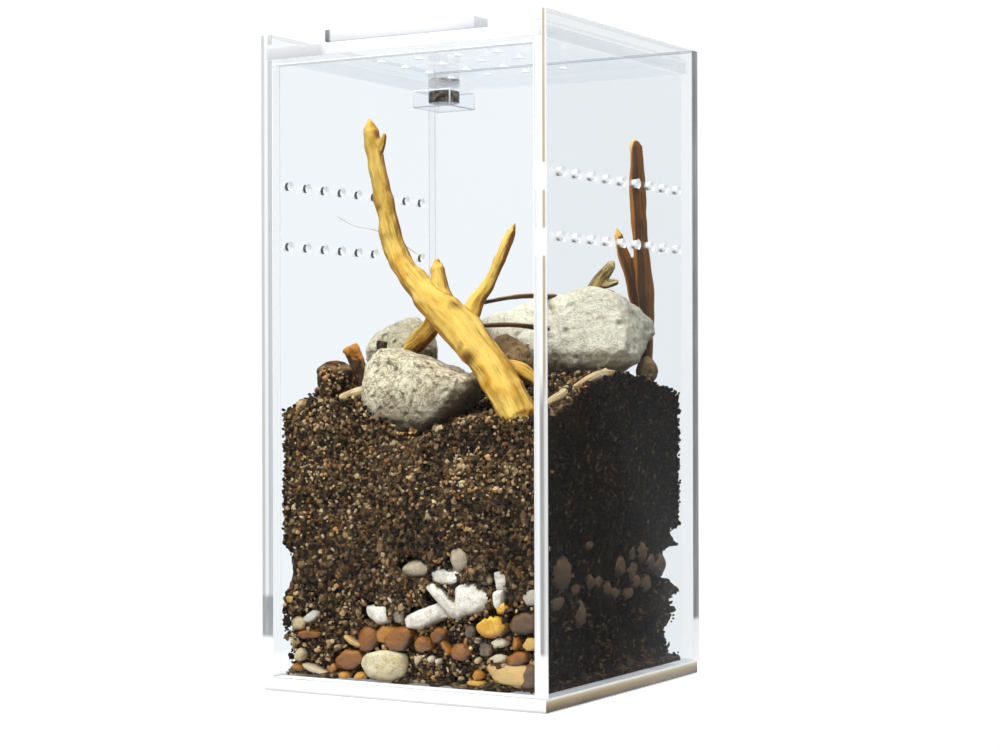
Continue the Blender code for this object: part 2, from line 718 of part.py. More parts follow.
def block_magnet():
    mesh = pin_mesh("block_magnet", MAGNET_RADIUS, BLOCK_MAGNET_HEIGHT, [Vector()], MAGNET_SIDES)
    shade_round(mesh)
    add_piece("block_magnet", mesh, "nickel", (LATCH_X, LATCH_Y, BLOCK_TOP - BLOCK_MAGNET_HEIGHT / 2))


# Stones


def stone_on_soil(name, kind, size, seed, lumps=0.10, facets=5, detail=3):
    """A stone that stands on the soil, partly sunk in it."""
    mesh = stone_mesh(
        name, size, seed, lumps=lumps, facets=facets, detail=detail, planes=ROCK_FACET_SHARES[name],
    )
    across, along, sunk = ROCK_PLACE_SHARES[name]
    x = between(SOIL_LEFT, SOIL_RIGHT, size[0], across)
    y = between(SOIL_FRONT, SOIL_BACK, size[1], along)
    z = soil_surface(x, y) + size[2] * (1 / 2 - sunk)
    return add_piece(name, mesh, kind, (x, y, z))


def front_rock():
    size = (FRONT_ROCK_WIDTH, FRONT_ROCK_DEPTH, FRONT_ROCK_HEIGHT)
    return stone_on_soil("front_rock", "grey_rock", size, 4, facets=4)


def middle_rock():
    size = (MIDDLE_ROCK_WIDTH, MIDDLE_ROCK_DEPTH, MIDDLE_ROCK_HEIGHT)
    return stone_on_soil("middle_rock", "pale_rock", size, 11)


def brown_rock():
    size = (BROWN_ROCK_WIDTH, BROWN_ROCK_DEPTH, BROWN_ROCK_HEIGHT)
    return stone_on_soil("brown_rock", "brown_rock", size, 14, detail=2)


def pale_rock():
    size = (PALE_ROCK_WIDTH, PALE_ROCK_DEPTH, PALE_ROCK_HEIGHT)
    return stone_on_soil("pale_rock", "pale_rock", size, 23, lumps=0.16, facets=3)


def small_rock():
    size = (SMALL_ROCK_WIDTH, SMALL_ROCK_DEPTH, SMALL_ROCK_HEIGHT)
    return stone_on_soil("small_rock", "grey_rock", size, 31, detail=2)


def soil_clump():
    size = (CLUMP_DIAMETER, CLUMP_DIAMETER, CLUMP_DIAMETER)
    return stone_on_soil("soil_clump", "clump", size, 5, lumps=0.16, facets=0, detail=2)


def wall_pebbles(table, at_front):
    """Pebbles in a row of heaps against the front wall or the right wall."""
    found = []
    for number, (name, values) in enumerate(table.items()):
        kind, along, up, width_share, height_share, tilt = values
        width = PEBBLE_LENGTH_SHARE * width_share * (SOIL_WIDTH if at_front else SOIL_LENGTH)
        height = PEBBLE_HEIGHT * height_share
        z = between(SOIL_BOTTOM, SOIL_BOTTOM + PEBBLE_REACH, height, up)
        if at_front:
            size = (width, PEBBLE_THICKNESS, height)
            place = (between(SOIL_LEFT, SOIL_RIGHT, width, along), SOIL_FRONT + PEBBLE_THICKNESS / 2, z)
            turn = Matrix.Rotation(math.radians(-tilt), 4, "Y")
        else:
            size = (PEBBLE_THICKNESS, width, height)
            place = (SOIL_RIGHT - PEBBLE_THICKNESS / 2, between(SOIL_FRONT, SOIL_BACK, width, along), z)
            turn = Matrix.Rotation(math.radians(tilt), 4, "X") @ Matrix.Rotation(math.pi / 2, 4, "Z")
        mesh = stone_mesh(name, size, 100 + number, facets=6, stretch=1.4, turn=turn)
        found.append(add_piece(name, mesh, kind, place))
    return found


# Wood


def in_air(across, along, rise, radius):
    """A point of a limb: shares of the width and the depth, and of the rise from the soil to the lid."""
    return Vector((
        between(SOIL_LEFT, SOIL_RIGHT, 2 * radius, across),
        between(SOIL_FRONT, SOIL_BACK, 2 * radius, along),
        SOIL_LEVEL + rise * (LID_BOTTOM - SOIL_LEVEL),
    ))


def air_limb(name, table, radius, seed, widest=None):
    """A limb whose points are shares of the air space. Widest is the radius that sets its free travel."""
    points = [in_air(*row[:3], widest or radius) for row in table]
    return limb_mesh(name, points, radius, [row[3] for row in table], seed)


def driftwood_branch():
    meshes = [
        air_limb("branch", BRANCH_SHARES, BRANCH_RADIUS, 1),
        air_limb("rear_limb", REAR_LIMB_SHARES, REAR_LIMB_RADIUS, 5, BRANCH_RADIUS),
        air_limb("spur", SPUR_SHARES, SPUR_RADIUS, 12, BRANCH_RADIUS),
        air_limb("stub", STUB_SHARES, STUB_RADIUS, 2, BRANCH_RADIUS),
        air_limb("side_limb", SIDE_LIMB_SHARES, SIDE_LIMB_RADIUS, 3, BRANCH_RADIUS),
        air_limb("prong", PRONG_SHARES, PRONG_RADIUS, 4, BRANCH_RADIUS),
    ]
    return add_piece("driftwood_branch", fused("driftwood_branch", meshes), "driftwood")


def dark_twig():
    meshes = [
        air_limb("twig", DARK_TWIG_SHARES, DARK_TWIG_RADIUS, 6),
        air_limb("twig_limb", DARK_TWIG_LIMB_SHARES, DARK_TWIG_LIMB_RADIUS, 7, DARK_TWIG_RADIUS),
    ]
    return add_piece("dark_twig", fused("dark_twig", meshes), "dark_wood")


def about(rock, size, row):
    """A point at shares of a rock's size from its middle."""
    return rock.location + Vector(row[i] * size[i] for i in range(3))


def gnarled_root(rock):
    size = (PALE_ROCK_WIDTH, PALE_ROCK_DEPTH, PALE_ROCK_HEIGHT)
    meshes = []
    tables = (
        (ROOT_STEM_SHARES, ROOT_RADIUS),
        (ROOT_MIDDLE_FINGER_SHARES, ROOT_FINGER_RADIUS),
        (ROOT_LOW_FINGER_SHARES, ROOT_FINGER_RADIUS),
    )
    for number, (table, radius) in enumerate(tables):
        points = [about(rock, size, row) for row in table]
        meshes.append(limb_mesh(f"root_{number}", points, radius, [row[3] for row in table], 8 + number))
    return add_piece("gnarled_root", fused("gnarled_root", meshes), "dark_wood")


def thin_twigs(rock):
    """Two thin twigs that lie between the side limb of the branch and the pale rock."""
    size = (PALE_ROCK_WIDTH, PALE_ROCK_DEPTH, PALE_ROCK_HEIGHT)
    found = []
    for number, (name, (row, rest)) in enumerate(THIN_TWIG_SHARES.items()):
        start = in_air(*SIDE_LIMB_SHARES[row][:3], BRANCH_RADIUS)
        end = about(rock, size, rest)
        middle = (start + end) / 2 + Vector((0, 0, THIN_TWIG_RADIUS))
        mesh = limb_mesh(name, [start, middle, end], THIN_TWIG_RADIUS, [0.8, 1.0, 1.2], 20 + number)
        found.append(add_piece(name, mesh, "dark_wood"))
    return found


def on_soil(across, along, lift, radius):
    x = between(SOIL_LEFT, SOIL_RIGHT, 2 * radius, across)
    y = between(SOIL_FRONT, SOIL_BACK, 2 * radius, along)
    return Vector((x, y, soil_surface(x, y) + lift * radius))


def soil_limb(name, table, radius, kind, seed):
    """A short length of wood that lies on the soil, partly sunk in it."""
    points = [on_soil(*row[:3], radius) for row in table]
    return add_piece(name, limb_mesh(name, points, radius, [row[3] for row in table], seed), kind)


def pale_stick():
    return soil_limb("pale_stick", STICK_SHARES, STICK_RADIUS, "driftwood", 30)


def wood_chips():
    return [
        soil_limb(name, table, CHIP_RADIUS, "driftwood", 40 + number)
        for number, (name, table) in enumerate(CHIP_SHARES.items())
    ]


def bark_piece(name):
    """A bowed flake of bark that stands in the soil, narrower towards its top."""
    across, along, sunk, turns = BARK_SHARES[name]
    bm = bmesh.new()
    bmesh.ops.create_grid(bm, x_segments=4, y_segments=5, size=1 / 2)
    for vert in bm.verts:
        u, v = vert.co.x, vert.co.y
        taper = 1 - 0.35 * (v + 1 / 2)
        vert.co = Vector((u * BARK_WIDTH * taper, BARK_BOW * (1 - 4 * u * u), v * BARK_HEIGHT))
    x = between(SOIL_LEFT, SOIL_RIGHT, BARK_WIDTH, across)
    y = between(SOIL_FRONT, SOIL_BACK, BARK_WIDTH, along)
    z = soil_surface(x, y) + BARK_HEIGHT * (1 / 2 - sunk)
    sheet = bpy.data.objects.new(name, mesh_from(bm, name))
    collection("cutters").objects.link(sheet)
    skin = sheet.modifiers.new("thickness", "SOLIDIFY")
    skin.thickness = BARK_THICKNESS
    skin.offset = 0
    mesh = evaluated_mesh(sheet)
    bpy.data.objects.remove(sheet, do_unlink=True)
    piece = add_piece(name, mesh, "bark", (x, y, z))
    piece.rotation_euler = [math.radians(turn) for turn in turns]
    return piece


# Soil


def side_inset(side, share, up, height):
    """How far the soil stands in from a side of its space, at shares along and up the side and a height."""
    place = Vector((share, up, 0)) * SOIL_LUMPS + Vector((0.5, 0.5, {"left": 5, "right": 6, "front": 7, "back": 8}[side]))
    inset = SOIL_SIDE_RELIEF * (0.5 + 0.5 * noise.cell(place))
    inset += DRAINAGE_INSET * min(1, max(0, 1.4 - height / DRAINAGE_DEPTH))
    width = SOIL_LENGTH if side in ("left", "right") else SOIL_WIDTH
    for along, up, depth_share in SOIL_BITE_SHARES[side]:
        off = math.hypot((share - along) * width, height - up * SOIL_DEPTH) / BITE_REACH
        inset += BITE_DEPTH * depth_share * math.exp(-off * off)
    return inset


def soil_bed():
    bm = bmesh.new()
    bmesh.ops.create_cube(bm, size=1)
    bmesh.ops.subdivide_edges(bm, edges=bm.edges, cuts=SOIL_LUMPS - 1, use_grid_fill=True)
    for vert in bm.verts:
        across, along, up = (c + 0.5 for c in vert.co)
        relief = SOIL_TOP_RELIEF * noise.noise(Vector((across * 8, along * 8, 3)))
        height = up * (soil_height(across, along) + relief)
        left = SOIL_LEFT + side_inset("left", along, up, height)
        right = SOIL_RIGHT - side_inset("right", along, up, height)
        front = SOIL_FRONT + side_inset("front", across, up, height)
        back = SOIL_BACK - side_inset("back", across, up, height)
        vert.co = (
            left + across * (right - left),
            front + along * (back - front),
            SOIL_BOTTOM + height,
        )
    bmesh.ops.triangulate(bm, faces=bm.faces)
    mesh = mesh_from(bm, "soil_bed")
    shade_round(mesh)
    return add_piece("soil_bed", mesh, "soil")


def build_case():
    base_plate()
    side_wall("left_wall", -1)
    side_wall("right_wall", 1)
    back_wall()
    front_wall()
    carrier = lid_carrier()
    lid_plate(carrier)
    lid_handle(carrier)
    lid_magnet(carrier)
    magnet_block()
    block_magnet()


def build_planting():
    """Soil, stones and wood. Each piece makes room for the ones laid before it, and the soil for all."""
    branch = driftwood_branch()
    twig = dark_twig()
    rock = pale_rock()
    root = gnarled_root(rock)
    make_room(root, [twig, branch])
    wood = [branch, twig, root]
    for piece in thin_twigs(rock):
        make_room(piece, wood)
        wood.append(piece)
    rocks = []
    for piece in [rock, front_rock(), middle_rock(), brown_rock(), small_rock()]:
        make_room(piece, [*wood, *rocks])
        rocks.append(piece)
    laid = [*wood, *rocks]
    bark = [bark_piece(name) for name in BARK_SHARES]
    pebbles = [*wall_pebbles(FRONT_PEBBLE_SHARES, True), *wall_pebbles(RIGHT_PEBBLE_SHARES, False)]
    for piece in [pale_stick(), soil_clump(), *bark, *wood_chips(), *pebbles]:
        make_room(piece, laid)
        laid.append(piece)
    make_room(soil_bed(), laid)


def main():
    clear_scene()
    build_case()
    build_planting()


if __name__ == "__main__":
    main()
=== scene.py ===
"""Looks for a small clear acrylic terrarium, planted out with soil, stones and driftwood.

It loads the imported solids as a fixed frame, dresses them piece by piece, and sets the floor, lights and
camera. Lengths are metres, and tables that say so are in millimetres. The front faces -Y.
"""

import itertools
import math
import random

import bmesh
import bpy
import numpy as np
from bpy.props import FloatProperty, FloatVectorProperty, PointerProperty
from mathutils import Matrix, Vector
from mathutils.bvhtree import BVHTree


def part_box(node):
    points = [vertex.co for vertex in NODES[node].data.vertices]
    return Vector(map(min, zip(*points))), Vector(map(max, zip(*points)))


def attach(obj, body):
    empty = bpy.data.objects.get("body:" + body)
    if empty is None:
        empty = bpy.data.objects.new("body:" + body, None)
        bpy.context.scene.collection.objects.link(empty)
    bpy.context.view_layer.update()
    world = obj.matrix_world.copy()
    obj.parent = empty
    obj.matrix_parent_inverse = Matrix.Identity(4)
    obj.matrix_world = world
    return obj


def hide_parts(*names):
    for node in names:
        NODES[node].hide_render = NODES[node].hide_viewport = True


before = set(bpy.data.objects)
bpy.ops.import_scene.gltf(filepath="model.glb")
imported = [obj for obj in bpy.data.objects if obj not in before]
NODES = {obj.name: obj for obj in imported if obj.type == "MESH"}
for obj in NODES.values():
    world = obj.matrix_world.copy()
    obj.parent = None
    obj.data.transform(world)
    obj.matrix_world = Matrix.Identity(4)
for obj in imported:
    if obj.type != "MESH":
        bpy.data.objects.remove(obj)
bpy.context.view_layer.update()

bl_info = {
    "name": "Planted acrylic terrarium",
    "version": (1, 0, 0),
    "blender": (4, 5, 0),
    "location": "3D View > Sidebar > Terrarium",
    "description": "Dresses a small clear terrarium with acrylic, soil, gravel, rocks and driftwood",
    "category": "Object",
}

MM = 0.001

# The inside of the case, from its own solids
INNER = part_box("right_wall")[0].x
CASE_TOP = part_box("back_wall")[1].z
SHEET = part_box("right_wall")[1].x - INNER
SOIL_GAP = 0.3 * MM
SOIL_HALF = INNER - SOIL_GAP
SOIL_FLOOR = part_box("soil_bed")[0].z

# The way from each wall into the soil
INWARD = {"front": (0, 1, 0), "back": (0, -1, 0), "left": (1, 0, 0), "right": (-1, 0, 0)}
# How far behind each wall soil still counts as pressed against it, in millimetres. Less at the front and the
# right, which have stones with solids
WALL_REACH = {"front": 2.5, "right": 2.5, "left": 6.0, "back": 6.0}
# How many of a wall's crumbs are brown or pale, and how much darker the shaded right wall's are. The right
# wall's few brown and pale crumbs and its darker tones are painted shade
WALL_BRIGHTNESS = {"front": 1.05, "right": 0.05, "left": 0.9, "back": 0.8}
RIGHT_SHADE = 0.62
# Paler and darker crumbs at a wall: millimetres along and up, their reach, and how much paler
PATCHES = {
    "front": (
        (12.7, 52.6, 2.3, 0.9), (13.3, 49.8, 2.0, 0.8), (-27.1, 51.7, 3.4, 0.50), (24.5, 52.0, 3.0, 0.15),
        (-24.0, 64.0, 5.0, 0.15), (-15.0, 37.0, 6.0, 0.10), (-16.0, 31.0, 5.0, -0.30),
        (-8.0, 38.0, 7.0, -0.20), (2.0, 34.0, 5.0, -0.35), (26.0, 34.0, 6.0, -0.35), (8.0, 60.0, 8.0, -0.15)),
    "right": (
        (-6.0, 3.0, 3.5, 0.40), (3.0, 3.2, 3.5, 0.62), (12.0, 4.0, 4.0, 0.55), (22.0, 5.5, 5.0, 0.42),
        (-24.0, 6.0, 3.0, 0.35), (8.0, 12.0, 5.0, 0.22), (-32.0, 58.0, 5.0, 0.30), (-20.0, 64.0, 5.0, 0.20)),
}
# Where air is left at a wall: middle along and up, and half its width and height in millimetres
POCKETS = {
    "front": ((-35.5, 27.8, 3.4, 6.2), (-35.5, 7.0, 2.4, 4.0)),
    "left": ((-35.5, 27.8, 4.5, 6.2), (-35.5, 7.0, 2.4, 4.0)),
    "right": ((37.0, 26.6, 10.0, 5.4), (36.5, 8.0, 3.2, 6.0)),
    "back": ((37.0, 26.6, 8.0, 5.4), (36.5, 8.0, 3.2, 6.0)),
}

# Limbs in millimetres: x, y, z and radius
BRANCH = (
    (26.6, -28.0, 61.5, 4.14), (17.0, -24.5, 73.6, 4.27), (8.9, -22.0, 81.1, 4.5), (2.3, -20.0, 86.3, 4.32),
    (-5.7, -18.0, 92.3, 3.33), (-12.6, -16.0, 98.4, 2.93), (-16.6, -15.0, 105.2, 2.7),
    (-19.7, -14.0, 114.9, 2.43), (-22.7, -13.0, 124.7, 2.11), (-24.7, -12.2, 132.4, 1.55),
)
BRANCH_LIMBS = {
    "rear": ((-1.5, -18.8, 87.1, 2.4), (-7.5, -14.5, 83.0, 2.28), (-14.8, -11.0, 79.3, 2.06)),
    "spur": ((15.0, -22.1, 75.6, 1.4), (21.5, -20.6, 74.0, 1.4), (27.0, -20.0, 70.6, 1.12)),
    "stub": ((1.5, -19.4, 87.5, 2.2), (-1.5, -17.8, 93.2, 2.09), (-2.9, -16.8, 98.6, 1.76)),
    "side": (
        (7.0, -20.3, 84.2, 2.0), (7.3, -16.8, 89.5, 1.9), (9.5, -13.9, 94.6, 1.72),
        (11.5, -11.9, 100.4, 1.56), (13.6, -9.9, 107.0, 1.1),
    ),
    "prong": ((-23.0, -12.6, 124.2, 1.2), (-21.5, -12.4, 127.9, 1.08), (-20.5, -12.4, 131.1, 0.6)),
}
# A loose fibre on the branch
FIBRE = (
    (-33.4, -14.0, 111.6, 0.07), (-28.0, -14.2, 109.0, 0.08), (-21.6, -14.0, 107.6, 0.09),
    (-13.3, -14.0, 103.5, 0.09), (-8.6, -14.0, 100.5, 0.06))
# Splinters at the broken ends: the point that each leaves, its tip, and its radius there
BRANCH_SPLINTERS = (
    ((-24.6, -12.2, 131.8), (-25.4, -11.9, 134.8), 1.2),
    ((-25.3, -12.4, 131.0), (-26.2, -12.4, 132.9), 0.7),
    ((-2.7, -17.0, 98.0), (-3.4, -16.6, 100.2), 1.0),
    ((-2.2, -16.8, 98.2), (-1.9, -16.8, 99.4), 0.8),
    ((13.4, -10.0, 106.5), (13.9, -9.6, 108.6), 0.8),
    ((25.4, -27.0, 62.0), (29.8, -29.4, 60.0), 1.8),
    ((26.4, -29.4, 63.0), (30.0, -31.0, 62.6), 1.3),
)
# Dark knots on the branch: place and reach
KNOTS = (
    ((11.6, -26.8, 76.8), 2.6), ((9.6, -26.0, 79.6), 1.6), ((4.6, -21.6, 88.4), 2.4),
    ((-19.6, -15.6, 113.0), 1.3))
TWIG = (
    (29.0, 28.0, 66.0, 1.26), (28.8, 28.0, 82.0, 1.74), (28.6, 28.0, 90.5, 2.4), (28.0, 28.0, 97.0, 2.3),
    (27.8, 27.5, 104.0, 2.02), (27.2, 27.0, 113.0, 1.9), (27.0, 27.0, 121.0, 1.85), (26.7, 27.0, 130.0, 1.62),
)
TWIG_SPLINTERS = (
    ((26.8, 27.0, 129.0), (26.3, 27.0, 130.8), 1.2), ((22.4, 26.0, 107.4), (21.9, 25.8, 109.3), 0.8))
TWIG_LIMB = (
    (27.6, 27.5, 88.3, 1.8), (25.4, 27.0, 96.5, 1.71), (23.4, 26.5, 103.0, 1.53), (22.3, 26.0, 108.0, 1.0))
ROOT = ((18.5, 17.7, 91.6, 1.7), (21.2, 18.5, 96.1, 1.61), (24.2, 19.3, 100.1, 1.0))
ROOT_FINGERS = (
    ((20.3, 18.2, 94.6, 1.0), (23.1, 19.0, 95.1, 0.9), (25.6, 19.3, 95.6, 0.6)),
    ((18.9, 17.7, 92.4, 1.0), (23.5, 17.9, 92.9, 0.8), (27.2, 18.7, 90.9, 0.9)),
)
THIN_TWIGS = {
    "thin_twig_1": ((7.3, -16.8, 89.5, 0.5), (9.9, -1.5, 91.7, 0.6), (12.0, 13.3, 92.1, 0.7)),
    "thin_twig_2": ((7.0, -20.3, 84.2, 0.5), (10.2, -6.0, 84.9, 0.6), (12.9, 7.9, 84.1, 0.7)),
}
LITTER = {
    "pale_stick": ((-19.8, -32.9, 67.7, 0.96), (-16.5, -30.2, 69.1, 1.2), (-13.4, -25.5, 69.8, 1.08)),
    "wood_chip_1": ((9.5, -11.0, 69.5, 0.66), (13.5, -9.5, 71.3, 1.1), (17.5, -11.5, 68.0, 0.77)),
    "wood_chip_2": ((28.0, -20.9, 66.5, 0.88), (30.4, -18.5, 68.4, 1.1), (28.6, -12.8, 69.3, 0.66)),
    "wood_strip": ((29.7, -11.5, 69.9, 0.77), (32.6, -4.7, 72.8, 1.1), (31.9, 8.0, 73.4, 0.88)),
}

# Stones at the front wall: kind, how far behind the wall's inside in mm, and the outline in mm across and up
FRONT_STONES = {
    "cream_stone": ("cream", 0.3, (
        (-13.2, 7.6), (-11.6, 9.3), (-8.6, 10.1), (-5.4, 10.2), (-2.6, 9.6), (-1.5, 7.8), (-2.2, 5.0),
        (-4.6, 3.4), (-8.4, 3.3), (-11.6, 4.4))),
    "amber_pebble_1": ("amber", 0.4, (
        (-20.4, 7.6), (-17.5, 10.0), (-13.8, 9.8), (-12.9, 7.7), (-15.9, 5.5), (-19.6, 5.7))),
    "amber_pebble_2": ("amber", 0.5, (
        (-14.3, 13.7), (-12.2, 16.0), (-9.6, 15.5), (-8.7, 13.6), (-10.6, 10.4), (-13.5, 9.8))),
    "amber_pebble_3": ("amber", 0.3, (
        (-7.0, 13.2), (-4.4, 15.6), (-0.8, 16.2), (0.5, 14.1), (-1.8, 10.9), (-5.4, 10.4))),
    "amber_pebble_4": ("amber", 0.6, (
        (0.8, 12.8), (2.8, 14.2), (5.4, 13.5), (5.9, 11.4), (3.3, 10.4), (1.3, 10.7))),
    "amber_pebble_5": ("amber", 0.3, ((5.4, 15.2), (7.4, 16.6), (9.4, 15.5), (8.4, 13.3), (6.1, 12.7))),
    "amber_pebble_6": ("amber", 0.5, (
        (10.7, 11.7), (12.9, 13.1), (15.9, 12.7), (16.4, 10.8), (13.9, 9.3), (11.4, 9.8))),
    "amber_pebble_7": ("amber", 0.4, (
        (-31.2, 13.2), (-27.7, 14.3), (-24.2, 13.6), (-25.0, 12.4), (-29.9, 11.9))),
    "amber_pebble_8": ("amber", 0.4, (
        (25.2, 10.5), (27.2, 12.3), (30.1, 12.0), (30.6, 10.2), (28.1, 9.0), (25.7, 9.2))),
    "yellow_pebble_1": ("yellow", 0.2, (
        (17.4, 17.2), (19.9, 19.5), (23.3, 19.8), (25.3, 18.1), (23.8, 15.4), (19.4, 14.8))),
    "yellow_pebble_2": ("yellow", 0.6, (
        (22.3, 22.5), (24.8, 23.1), (26.0, 21.7), (24.8, 20.1), (22.8, 20.4))),
    "brown_pebble_1": ("brown", 0.5, (
        (25.7, 17.7), (27.0, 20.2), (30.6, 21.3), (33.5, 20.2), (33.2, 17.7), (29.6, 16.2), (26.7, 16.5))),
    "brown_pebble_2": ("brown", 0.4, (
        (28.6, 6.5), (30.1, 9.5), (33.4, 10.2), (33.4, 4.7), (31.0, 3.7), (29.1, 4.0))),
    "white_stone_1": ("white", 0.2, (
        (12.0, 26.3), (15.5, 26.7), (21.4, 24.2), (19.9, 20.7), (15.4, 19.6), (12.4, 19.1), (11.9, 22.0))),
    "white_stone_2": ("white", 0.3, ((3.9, 25.7), (6.4, 26.5), (13.7, 20.4), (12.9, 18.9), (10.9, 19.0))),
    "white_stone_3": ("white", 0.6, ((5.9, 29.2), (12.6, 29.8), (14.0, 26.9), (11.8, 25.9), (5.9, 26.4))),
    "white_stone_4": ("white", 0.4, ((-1.3, 18.8), (6.9, 21.8), (9.9, 18.9), (2.3, 15.7), (-0.8, 16.2))),
    "white_stone_5": ("white", 0.3, (
        (-12.2, 20.4), (-9.6, 20.1), (-5.9, 21.1), (-5.7, 17.2), (-8.5, 16.4), (-11.1, 18.2))),
    "white_stone_6": ("white", 0.8, (
        (-29.9, 16.4), (-26.6, 19.2), (-24.4, 18.9), (-25.5, 16.6), (-28.8, 15.1))),
    "white_stone_7": ("white", 0.9, ((21.9, 29.3), (24.3, 29.8), (26.3, 28.2), (25.8, 25.6), (22.8, 25.5))),
    "white_stone_8": ("white", 0.5, ((21.6, 25.0), (24.3, 25.6), (24.8, 22.7), (23.3, 20.9), (21.9, 22.1))),
    "beige_stone_1": ("beige", 0.4, (
        (10.5, 32.0), (11.5, 34.4), (13.5, 34.9), (15.5, 34.1), (16.0, 31.6), (14.5, 29.4), (12.0, 29.3))),
    "beige_stone_2": ("beige", 1.2, (
        (-2.8, 29.1), (-0.7, 30.9), (2.9, 31.3), (5.9, 30.3), (6.4, 28.2), (2.9, 27.4), (-1.2, 27.4))),
}
# More stones between them, which stand for no solid of their own: tone, how far behind the wall, and outline
BETWEEN_STONES = (
    (0.20, 1.2, ((-10.1, 14.4), (-7.5, 16.5), (-4.4, 16.0), (-3.9, 13.4), (-6.5, 12.0), (-9.3, 12.2))),
    (0.15, 0.8, ((7.4, 13.9), (8.4, 14.3), (10.9, 11.1), (9.9, 10.4))),
    (0.62, 0.8, ((-33.4, 15.7), (-31.2, 17.2), (-28.8, 16.4), (-29.3, 14.2), (-32.1, 13.6))),
    (0.70, 0.6, ((21.3, 14.0), (23.3, 15.2), (25.5, 14.5), (24.8, 13.2), (22.1, 12.8))),
    (0.66, 0.7, ((20.6, 10.2), (22.8, 11.6), (25.2, 10.9), (24.3, 9.4), (21.3, 9.0))),
    (0.45, 0.6, ((28.9, 13.8), (30.6, 15.4), (33.2, 15.1), (33.5, 13.1), (30.6, 12.5))),
    (0.85, 0.3, ((29.6, 24.6), (31.6, 26.3), (34.4, 26.0), (34.4, 23.1), (30.6, 22.5))),
    (0.30, 0.5, ((-19.9, 4.2), (-18.3, 5.0), (-16.7, 4.6), (-17.3, 3.4), (-19.4, 3.4))),
    (0.32, 0.5, ((-15.4, 4.0), (-13.8, 5.2), (-12.2, 4.7), (-12.6, 3.4), (-14.9, 3.4))),
    (0.50, 0.5, (
        (20.0, 8.4), (21.8, 9.2), (25.6, 7.5), (29.4, 8.1), (32.7, 9.2), (33.2, 4.9), (28.1, 4.6),
        (22.3, 5.0))),
    (0.62, 0.6, ((1.1, 9.0), (2.4, 10.0), (3.5, 9.8), (2.7, 8.4), (1.4, 7.4))),
    (0.70, 0.4, ((4.8, 9.7), (5.9, 10.0), (6.4, 9.1), (5.4, 8.4))),
    (0.70, 0.4, ((6.9, 9.4), (8.0, 9.4), (8.0, 8.5), (7.2, 8.3))),
    (0.12, 0.7, ((26.6, 15.0), (27.9, 15.5), (28.7, 14.0), (27.6, 12.4), (26.6, 12.8))),
    (0.36, 0.4, ((15.1, 5.0), (16.6, 5.5), (19.2, 5.3), (19.4, 4.0), (17.6, 3.3), (15.3, 3.4))),
    (0.20, 0.6, ((16.4, 6.4), (17.4, 7.8), (18.9, 7.0), (19.2, 5.7), (17.1, 5.3))),
    (0.60, 0.6, ((16.6, 9.5), (17.7, 10.5), (18.7, 10.1), (17.7, 8.9))),
    (0.70, 0.6, ((16.9, 14.4), (18.2, 14.7), (18.4, 13.8), (17.2, 13.5))),
    (0.97, 1.0, ((14.3, 16.9), (15.6, 17.9), (16.9, 16.6), (16.6, 14.4), (14.8, 14.3))),
    (0.97, 1.2, ((17.4, 13.6), (19.2, 14.5), (20.8, 13.5), (20.8, 11.3), (18.7, 10.5), (17.4, 11.8))),
    (0.62, 0.6, ((-32.1, 8.1), (-30.6, 9.8), (-28.9, 8.7), (-30.1, 6.8), (-31.8, 6.9))),
    (0.66, 0.5, (
        (-29.8, 6.4), (-28.1, 5.8), (-25.3, 5.0), (-22.5, 4.5), (-22.5, 3.8), (-25.8, 4.1), (-29.5, 5.2))),
    (0.15, 0.8, ((-33.5, 5.0), (-31.8, 6.0), (-30.1, 5.4), (-30.7, 4.2), (-33.2, 4.3))),
    (0.15, 0.8, ((-22.7, 5.7), (-21.3, 6.7), (-20.2, 5.8), (-21.1, 4.4), (-22.5, 4.5))),
    (0.50, 0.6, (
        (-18.2, 13.1), (-17.1, 13.1), (-15.5, 12.1), (-13.3, 11.7), (-12.4, 11.3), (-14.4, 10.8),
        (-16.6, 11.6))),
    (0.62, 0.6, ((-20.8, 11.1), (-19.6, 11.1), (-19.4, 10.2), (-20.5, 9.7))),
    (0.45, 0.4, ((-34.6, 21.4), (-33.5, 22.0), (-31.7, 21.6), (-32.0, 20.2), (-34.0, 19.6))),
    (0.78, 0.6, ((-6.1, 23.1), (-5.3, 23.5), (-4.0, 21.8), (-4.5, 20.9), (-5.6, 21.7))),
    (0.93, 0.9, ((-4.8, 19.9), (-2.9, 20.5), (-1.8, 18.3), (-2.6, 16.9), (-4.5, 17.2))),
    (0.95, 1.3, ((25.7, 25.5), (28.2, 26.0), (30.0, 24.6), (28.9, 23.0), (26.4, 23.1))),
    (0.62, 0.9, (
        (15.9, 29.0), (18.0, 30.4), (19.5, 30.0), (21.1, 27.9), (20.5, 26.5), (18.7, 26.7), (16.7, 27.7))),
)
# The stones that are heaped at the left and back walls: both ends along the wall, the lowest row's level and
# the heap's top in millimetres, and their tones
HEAP_START, HEAP_END = -27.0, 25.5
HEAP_LEVEL, HEAP_TOP = 5.6, 31
GRAVEL_TONES = (0.05, 0.18, 0.25, 0.3, 0.42, 0.6, 0.78, 0.8, 0.9, 1.0)
DULL_STONES = tuple(f"dull_stone_{number}" for number in range(1, 9))
# More dull stones between those, for no solid of their own: middle along and up, and half of each size
RIGHT_STONES = (
    (-11.9, 34.5, 2.2, 1.3), (-26.7, 22.4, 4.0, 1.9), (-16.0, 19.2, 2.8, 3.0), (9.4, 27.0, 2.8, 2.4),
    (19.4, 28.2, 2.4, 2.8), (11.8, 24.4, 2.8, 2.0), (0.8, 22.6, 2.6, 1.4), (-7.4, 25.6, 1.8, 1.7),
    (-18.6, 25.0, 2.4, 1.6), (9.6, 31.2, 2.0, 2.0),
)


# Numbers


def scaled(numbers, by):
    """Each number of a colour or place, times a factor."""
    return tuple(c * by for c in numbers)


